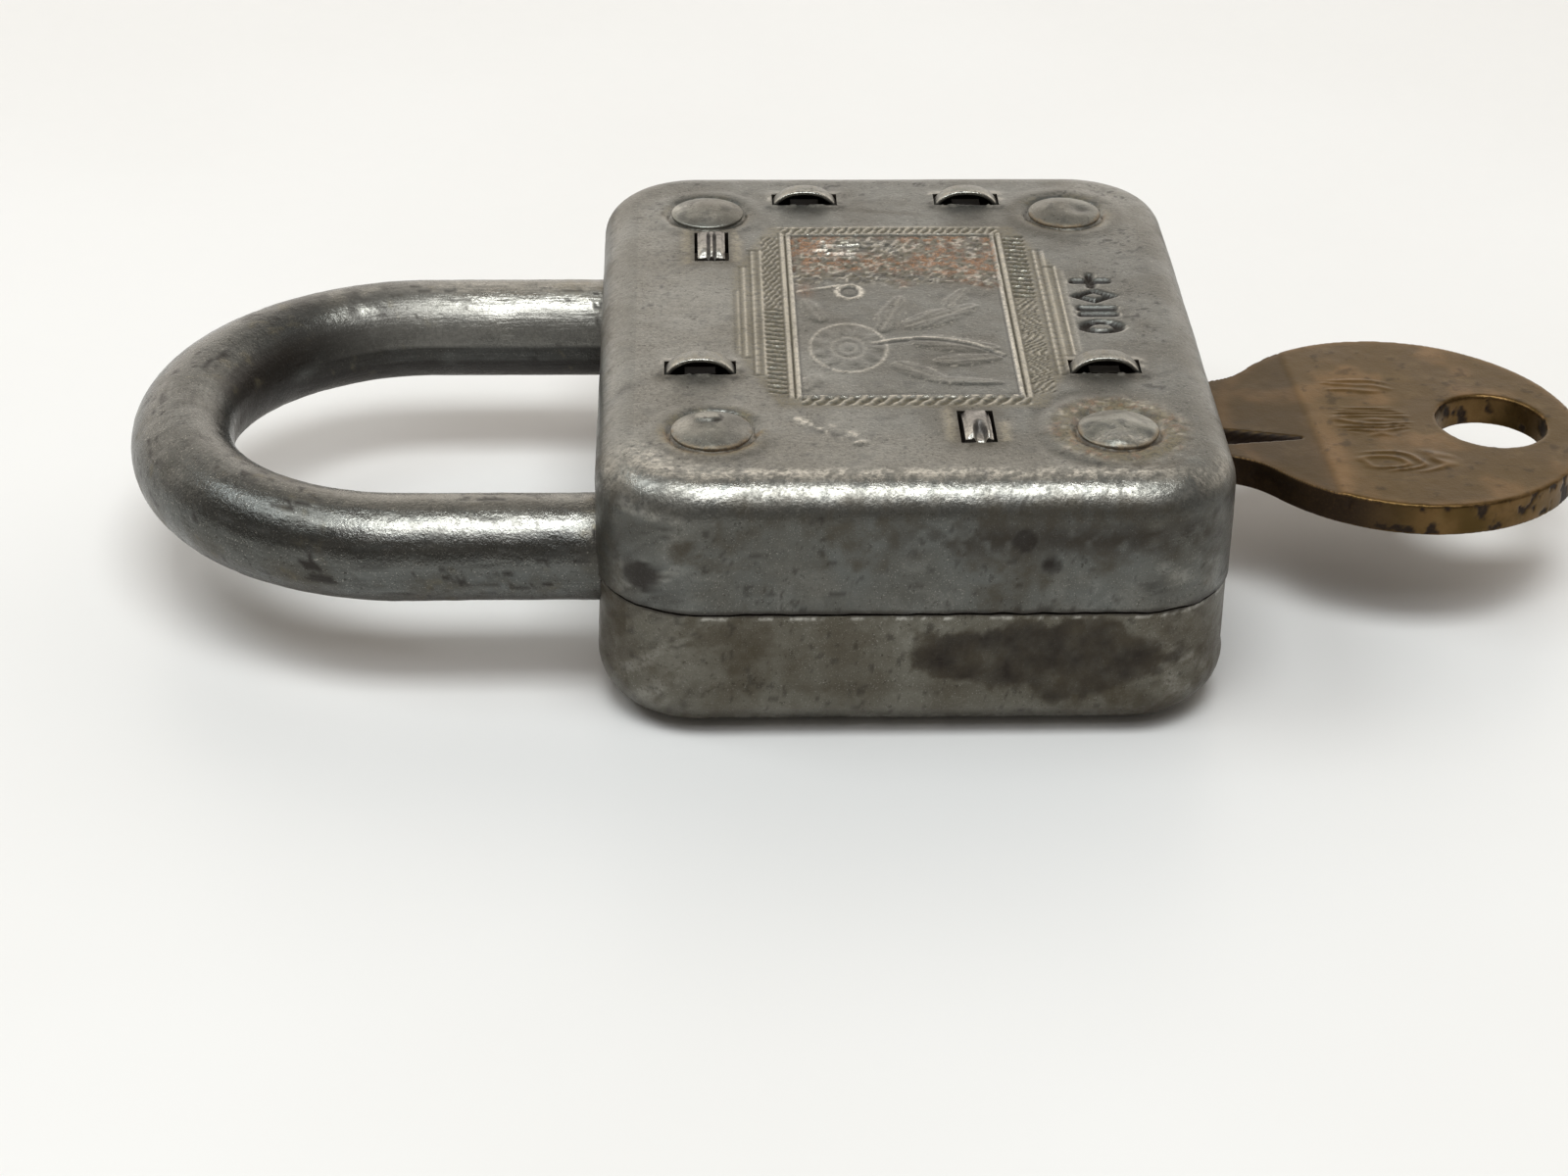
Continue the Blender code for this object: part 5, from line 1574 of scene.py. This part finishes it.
def key_relief(x, y):
    """Sunk and raised detail of the key's upper face: groove, blade step and worn ornament."""
    taper = np.clip((24.7 - x) / 5.2, 0.0, 1.0)
    centre = -2.45
    half = 0.9 * taper
    gap = np.abs(y - centre) - half
    groove = smoothstep(0.2, -0.2, gap) * (x < 24.7)
    # Blackened floor and edges of the groove.
    groove_dark = smoothstep(0.30, 0.12, gap) * (x < 24.7)
    step_x = 25.5 - 0.04 * y
    blade = 1.0 - smoothstep(-0.25, 0.25, x - step_x)
    flat = np.column_stack([x * 0.8, y, np.zeros_like(x)])
    strokes = np.zeros_like(x)
    for u0, v0, half_u, half_v, seed in (
        (29.2, 4.4, 2.5, 1.1, 5), (29.4, -0.2, 2.7, 2.3, 6), (30.5, -5.4, 3.5, 1.6, 8)
    ):
        rho = np.hypot((x - u0) / half_u, (y - v0) / half_v)
        field = fbm(flat * np.array([0.42, 1.0, 1.0]), 1.9, 2, 430 + seed)
        curl = bump((field * 1.9) % 1.0 - 0.5, 0.2)
        strokes = np.maximum(strokes, curl * (1.0 - smoothstep(0.7, 1.05, rho)))
    return groove, blade, strokes, groove_dark


def make_key(mat):
    """Worn brass key: a remeshed blank with relief, pits and masks."""
    outline = key_outline()
    bm = bmesh.new()
    low = KEY_Z - KEY_T / 2 - 0.03
    verts = [bm.verts.new((x * MM, y * MM, low * MM)) for x, y in outline]
    face = bm.faces.new(verts)
    grown = bmesh.ops.extrude_face_region(bm, geom=[face])
    top = [g for g in grown["geom"] if isinstance(g, bmesh.types.BMVert)]
    bmesh.ops.translate(bm, vec=(0.0, 0.0, (KEY_T + 0.06) * MM), verts=top)
    bmesh.ops.recalc_face_normals(bm, faces=bm.faces)
    mesh = bpy.data.meshes.new("key_blank")
    bm.to_mesh(mesh)
    bm.free()
    key = bpy.data.objects.new("key_blank", mesh)
    bpy.context.scene.collection.objects.link(key)
    subtract(key, [cutter_cylinder((RING[0], 0.0, KEY_Z), RING[1], 8.0)])
    remesh = key.modifiers.new("remesh", "REMESH")
    remesh.mode = "VOXEL"
    remesh.voxel_size = KEY_VOXEL * MM
    relax = key.modifiers.new("relax", "SMOOTH")
    relax.factor = 0.5
    relax.iterations = 3
    bake_modifiers(key)
    mesh = key.data
    count = len(mesh.vertices)
    co = np.zeros(count * 3)
    no = np.zeros(count * 3)
    mesh.vertices.foreach_get("co", co)
    mesh.vertices.foreach_get("normal", no)
    p = co.reshape(-1, 3) / MM
    n = no.reshape(-1, 3)
    x, y, z = p.T
    groove, blade, strokes, groove_dark = key_relief(x, y)
    top = smoothstep(0.55, 0.9, n[:, 2])
    fine = fbm(p, 0.7, 3, 401)
    wide = fbm(p, 3.0, 3, 403)
    drop = 0.95 * groove * (1.0 - 0.4 * smoothstep(20.0, 24.7, x)) + 0.10 * blade
    drop -= 0.075 * strokes
    z = z - top * drop
    sidewall = (np.abs(n[:, 2]) < 0.6).astype(float)
    pits = smoothstep(0.22, 0.5, fbm(p, 0.8, 3, 411))
    out = n * ((0.012 * wide + 0.006 * fine) - 0.05 * pits * sidewall)[:, None]
    p = np.column_stack([x, y, z]) + out
    p[:, 2] -= 0.022 * np.maximum(p[:, 0] - 18.5, 0.0)
    mesh.vertices.foreach_set("co", (p * MM).ravel())
    near_edge = bump(np.hypot(x - BOW[0], y) - BOW[2], 0.5)
    rim = np.clip(1.0 - np.abs(n[:, 2]) ** 2, 0.0, 1.0)
    bright = np.maximum(
        0.35 * sidewall * smoothstep(-0.7, 0.3, wide),
        0.95 * rim * (1.0 - sidewall) * smoothstep(-0.5, 0.4, fine),
    )
    bright = np.maximum(bright, 0.4 * top * bump(x - 26.3, 1.0) * smoothstep(6.0, -6.0, y))
    bright = np.maximum(bright, 0.35 * top * smoothstep(0.1, 0.8, wide))
    # Lighter raised curls on the bow: painted highlight; also a lighter band near the bow's rim.
    bright = np.maximum(bright, 0.22 * top * strokes + 0.3 * top * near_edge)
    bright *= 1.0 - smoothstep(0.05, 0.5, groove_dark)
    neck = smoothstep(31.5, 26.0, x)
    dark = np.maximum(groove_dark * (n[:, 2] > 0.1), sidewall * np.maximum(0.95 * pits, 0.9 * neck))
    dark = np.maximum(dark, 0.34 * blade * top)
    dark = np.maximum(dark, 0.4 * top * smoothstep(0.5, 0.85, fine))
    for key_name, values in (("bright", bright), ("dark", dark)):
        attribute = mesh.attributes.new(key_name, "FLOAT", "POINT")
        attribute.data.foreach_set("value", np.clip(values, 0.0, 1.0).astype(np.float32))
    mesh.materials.clear()
    mesh.materials.append(mat)
    mesh.shade_smooth()
    mesh.update()
    key.name = "key_worn"
    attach(key, "key")
    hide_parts("key")


# ------------------------------------------------------------------ camera, light, floor


CAMERA_PLACE = (-0.01295, -0.17727, 0.10117)
CAMERA_PITCH, CAMERA_YAW, CAMERA_ROLL = 30.473, 1.990, 0.704
CAMERA_LENS = 74.6


def make_camera():
    """Long lens from above and in front, about 31 degrees down on the lock."""
    pitch, yaw, roll = map(math.radians, (CAMERA_PITCH, CAMERA_YAW, CAMERA_ROLL))
    forward = Vector(
        (math.sin(yaw) * math.cos(pitch), math.cos(yaw) * math.cos(pitch), -math.sin(pitch))
    )
    right = Vector((math.cos(yaw), -math.sin(yaw), 0.0))
    up = right.cross(forward)
    r2 = right * math.cos(roll) + up * math.sin(roll)
    u2 = -right * math.sin(roll) + up * math.cos(roll)
    data = bpy.data.cameras.new("camera")
    data.lens = CAMERA_LENS
    data.sensor_width = 36.0
    data.clip_start = 0.01
    data.clip_end = 20.0
    camera = bpy.data.objects.new("camera", data)
    turn = Matrix((r2, u2, -forward)).transposed()
    camera.matrix_world = Matrix.Translation(CAMERA_PLACE) @ turn.to_4x4()
    bpy.context.scene.collection.objects.link(camera)
    bpy.context.scene.camera = camera


def area_light(name, place, size, power, colour, target=(0.0, 0.0, 0.0)):
    """Soft rectangular lamp that looks at a target, by default the lock."""
    data = bpy.data.lights.new(name, "AREA")
    data.shape = "RECTANGLE"
    data.size, data.size_y = size
    data.energy = power
    data.color = colour
    light = bpy.data.objects.new(name, data)
    light.location = place
    light.rotation_euler = (Vector(target) - Vector(place)).to_track_quat("-Z", "Y").to_euler()
    bpy.context.scene.collection.objects.link(light)


def make_light():
    """Soft room: a bright wall behind, dim on the near side, and three soft lamps."""
    world = bpy.data.worlds.new("room")
    bpy.context.scene.world = world
    world.use_nodes = True
    tree = world.node_tree
    background = tree.nodes["Background"]
    coords = tree.nodes.new("ShaderNodeTexCoord")
    split = tree.nodes.new("ShaderNodeSeparateXYZ")
    tree.links.new(coords.outputs["Generated"], split.inputs[0])
    parts = []
    for axis, low, high, a, b in (("Y", -0.1, 0.8, 0.22, 1.53), ("Z", 0.35, 1.0, 1.0, 0.22)):
        part = tree.nodes.new("ShaderNodeMapRange")
        part.interpolation_type = "SMOOTHSTEP"
        tree.links.new(split.outputs[axis], part.inputs["Value"])
        for key, value in (("From Min", low), ("From Max", high), ("To Min", a), ("To Max", b)):
            part.inputs[key].default_value = value
        parts.append(part.outputs["Result"])
    product = tree.nodes.new("ShaderNodeMath")
    product.operation = "MULTIPLY"
    tree.links.new(parts[0], product.inputs[0])
    tree.links.new(parts[1], product.inputs[1])
    tree.links.new(product.outputs[0], background.inputs["Strength"])
    background.inputs["Color"].default_value = (1.0, 0.925, 0.84, 1.0)
    area_light("overhead", (0.0, -0.13, 0.61), (0.40, 0.22), 2.3, (0.95, 0.98, 0.98))
    area_light("left", (-0.37, 0.02, 0.51), (0.28, 0.20), 0.75, (0.93, 0.98, 1.0))
    area_light("front", (0.0, -0.31, 0.54), (0.40, 0.18), 0.55, (0.96, 0.97, 1.0))


def make_floor(mat):
    """Plain pale floor, just under the lock."""
    bm = bmesh.new()
    bmesh.ops.create_grid(bm, x_segments=8, y_segments=8, size=3.0)
    mesh = bpy.data.meshes.new("table_top")
    bm.to_mesh(mesh)
    bm.free()
    floor = bpy.data.objects.new("table_top", mesh)
    floor.location = (0.0, 0.0, -0.00002)
    bpy.context.scene.collection.objects.link(floor)
    mesh.materials.append(mat)


# ------------------------------------------------------------------ inner pieces


def dress_inner_pieces():
    """Give the CAD pieces that stay visible a worn metal each, and the face straps the near-black
    painted shade.
    """
    sheet = dull_metal("inner_sheet", (0.15, 0.145, 0.135), (0.10, 0.092, 0.08), 0.5)
    strap = painted_shade_black()
    collar = dull_metal("turned_collar", (0.19, 0.18, 0.17), (0.13, 0.12, 0.105), 0.42)
    spring = dull_metal("blued_spring", (0.10, 0.12, 0.16), (0.16, 0.14, 0.13), 0.36)
    plug = dull_metal("plug_brass", (0.36, 0.26, 0.12), (0.24, 0.17, 0.08), 0.42)
    looks = {
        "plug_retainer": sheet, "ward_plate_1": sheet, "ward_plate_2": sheet,
        "ward_plate_3": sheet, "ward_carrier": sheet, "face_strap_near": strap,
        "face_strap_far": strap, "heel_washer_front": collar, "heel_washer_back": collar,
        "sleeve_key_far": collar, "sleeve_key_near": collar, "lock_spring": spring,
        "kick_spring": spring, "keyway_plug": plug,
    }
    for name, mat in looks.items():
        obj = frame["nodes"][name]
        for slot in obj.material_slots:
            slot.material = mat


def main():
    """Build the light, the floor and every visible piece."""
    bpy.context.scene.view_settings.view_transform = "Standard"
    make_camera()
    make_light()
    make_floor(table_top())
    case_front = plated_steel(
        "case_plating", (0.142, 0.149, 0.142), (0.124, 0.124, 0.112), 0.34, 0.45
    )
    case_back = plated_steel(
        "back_plating", (0.170, 0.163, 0.136), (0.122, 0.110, 0.086), 0.37, 0.6
    )
    bar = plated_steel(
        "shackle_plating", (0.120, 0.124, 0.118), (0.101, 0.102, 0.094), 0.24, 0.3, 1.5, True
    )
    rivet = plated_steel(
        "rivet_plating", (0.225, 0.230, 0.208), (0.180, 0.176, 0.156), 0.36, 0.6, 1.2
    )
    stake = plated_steel("stake_steel", (0.19, 0.183, 0.175), (0.15, 0.138, 0.13), 0.36, 0.8, 1.0)
    make_front_shell(case_front)
    make_back_shell(case_back)
    make_rivet("rivet_heel", rivet, 501, "smooth")
    make_rivet("rivet_toe", rivet, 521, "peak")
    make_rivet("rivet_key_far", rivet, 541, "crater")
    make_rivet("rivet_key_near", rivet, 561, "facets")
    stake_block("kick_stake", KICK_WINDOW, stake, "bars", "kick_spring_anchor")
    stake_block("lock_stake", LOCK_WINDOW, stake, "punch", "lock_spring_anchor")
    make_shackle(bar)
    make_key(key_brass())
    dress_inner_pieces()


main()
